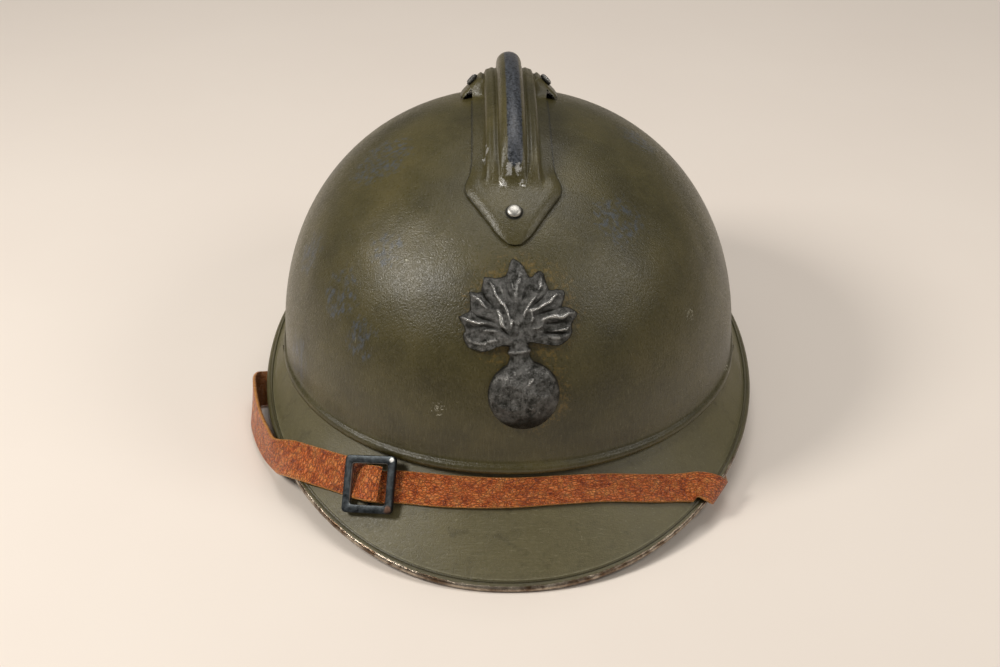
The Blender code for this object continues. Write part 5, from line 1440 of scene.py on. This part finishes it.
def blackenedSteel(name, cornerSpots=()):
    # Pressed steel, oil-blackened: bluish black, rubbed to bright steel on its edges and copper-brown at a corner; a
    # bright worn corner also carries a painted highlight.
    look = buckleMetal
    finish, add = newMaterial(name)
    place = add("coordinates").outputs["Object"]
    acrossBar = add("split", add("attribute", attribute_name="sweepPlace").outputs["Vector"]).outputs["Y"]
    cloudy = marking(add, place, 2.2, 6.0, 0.7)
    colour = layOver(add, look["dark"], look["light"], cloudy, 0.35, 0.7)
    rubbed = add("MULTIPLY_ADD", cloudy, 0.9, add("softRange", acrossBar, 0.86, 0.99))
    colour = layOver(add, colour, look["rubbed"], rubbed, 0.9, 1.4, 0.8)
    for spot, tone in cornerSpots:
        near = add("MULTIPLY_ADD", cloudy, 1.2, nearSpots(add, place, [spot]))
        colour = layOver(add, colour, tone, near, 1.05, 1.65)
    return setShader(finish, {
        "Base Color": colour, "Metallic": 0.8, "Roughness": add("range", cloudy, 0.3, 0.7, 0.26, 0.44),
        "Normal": add("bump", 0.4, 0.12 * millimetre, cloudy)})


def roundedRectangle(length, breadth, corner, steps):
    points = []
    for quarter, (sideX, sideY) in enumerate(((1, 1), (-1, 1), (-1, -1), (1, -1))):
        for step in range(steps):
            angle = math.pi / 2 * (quarter + step / (steps - 1))
            points.append((sideX * (length / 2 - corner) + corner * math.cos(angle),
                           sideY * (breadth / 2 - corner) + corner * math.sin(angle)))
    return np.array(points)


def buckleAxes():
    look = buckleLook
    up = brimNormal(np.asarray(look["turn"]), np.asarray(look["share"]))
    level = unit(np.cross(upAxis, up))
    xAxis = level * math.cos(look["twist"]) + np.cross(up, level) * math.sin(look["twist"])
    yAxis = np.cross(up, xAxis)
    tilt = look["tilt"]
    yTurned = yAxis * math.cos(tilt) + up * math.sin(tilt)
    zTurned = up * math.cos(tilt) - yAxis * math.sin(tilt)
    lift = strapHeights()[0] + strapLook["leather"] / 2 + smallGap + look["thick"] / 2 + look["stand"]
    return brimPoint(look["turn"], look["share"]) + up * lift, xAxis, yTurned, zTurned, lift


def buckleCorner(across, up):  # the frame's corner that lies furthest that way, on its upper face
    middle, xAxis, yAxis, zAxis, _ = buckleAxes()
    inset = buckleLook["bar"] / 2
    halfX, halfY = buckleLook["length"] / 2 - inset, buckleLook["breadth"] / 2 - inset
    corners = [middle + a * halfX * xAxis + b * halfY * yAxis + zAxis for a in (-1, 1) for b in (-1, 1)]
    return tuple(max(corners, key=lambda corner: across * corner[0] + up * corner[2]) + overOrigin)


# the upper corner is worn steel with a painted highlight; the lower corner is copper-brown
buckleSteel = blackenedSteel("oilBlackenedSteel", [((buckleCorner(1, 1), 1.9), buckleMetal["bright"]),
                                                   ((buckleCorner(1, -1), 3.2), buckleMetal["copper"])])
ringSteel = blackenedSteel("oilBlackenedRingWire")


def makeBuckle():
    look = buckleLook
    middle, xAxis, yAxis, zAxis, lift = buckleAxes()
    outer = roundedRectangle(look["length"], look["breadth"], look["corner"], 9)
    innerCorner = max(look["corner"] - look["bar"], 0.3 * look["bar"])
    inner = roundedRectangle(look["length"] - 2 * look["bar"], look["breadth"] - 2 * look["bar"], innerCorner, 9)
    points = middle + outer[:, :1] * xAxis + outer[:, 1:] * yAxis
    across = (inner[:, :1] - outer[:, :1]) * xAxis + (inner[:, 1:] - outer[:, 1:]) * yAxis
    ups = np.tile(zAxis * look["thick"] / 2, (len(points), 1))
    section = []
    for cornerX, cornerY, ease, first in ((0.87, 0.62, 0.13, 0), (0.12, 0.66, 0.12, 90), (0.12, -0.66, 0.12, 180),
                                          (0.87, -0.62, 0.13, 270)):
        for degrees in (0, 30, 60, 90):
            angle = math.radians(first + degrees)
            section.append((cornerX + ease * math.cos(angle), cornerY + 0.34 * math.sin(angle)))
    frameBar = sweep("strapBuckle", points, across, ups, section, buckleSteel, True)
    drop = strapHeights()[1] - lift
    half = look["breadth"] / 2 - look["bar"] / 2
    bend = half - look["bar"] / 2 - look["centreBend"]
    lean = bend * math.tan(look["tilt"])
    knots = np.array([(-half, 0.0), (-bend, drop + lean), (bend, drop - lean), (half, 0.0)])
    barPoints = middle + knots[:, :1] * yAxis + knots[:, 1:] * zAxis
    barRadius, angles = look["centreBar"] / 2, [fullTurn * i / 16 for i in range(16)]
    barSection = [(math.cos(angle) * barRadius, math.sin(angle) * barRadius) for angle in angles]
    centreBar = sweep("buckleCentreBar", barPoints, np.tile(xAxis, (4, 1)), np.tile(zAxis, (4, 1)), barSection,
                      buckleSteel, False)
    return joinPieces([tidyMesh(frameBar, sharp=50), tidyMesh(centreBar, sharp=50)], "strapBuckle")


buckle = makeBuckle()
buckle.data.shade_smooth()
handOver(buckle, "blackened_steel", "buckle")

print("13 strap rings")
for ringName in ("ring_left", "ring_right"):
    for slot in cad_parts[ringName].material_slots:
        slot.material = ringSteel

print("14 table top")

tableLook = {"half": 6, "dark": "E9DED3", "light": "EEE4D9", "roughness": 0.62, "grain": 9.0}  # half its side in m


def paleTable():
    # Plain pale laminate, faintly warm and matt, with a grain too low to read as a pattern.
    finish, add = newMaterial("plainPaleTable")
    soft = add("noise", add("coordinates").outputs["Object"], tableLook["grain"], 4.0)
    tone = add("mixColours", soft, tableLook["dark"], tableLook["light"])
    return setShader(finish, {"Base Color": tone, "Roughness": tableLook["roughness"]})


half = tableLook["half"]
tableData = bpy.data.meshes.new("paleTable")
tableData.from_pydata([(-half, -half, 0), (half, -half, 0), (half, half, 0), (-half, half, 0)], [], [(0, 1, 2, 3)])
tableData.materials.append(paleTable())
addObject("paleTable", tableData)
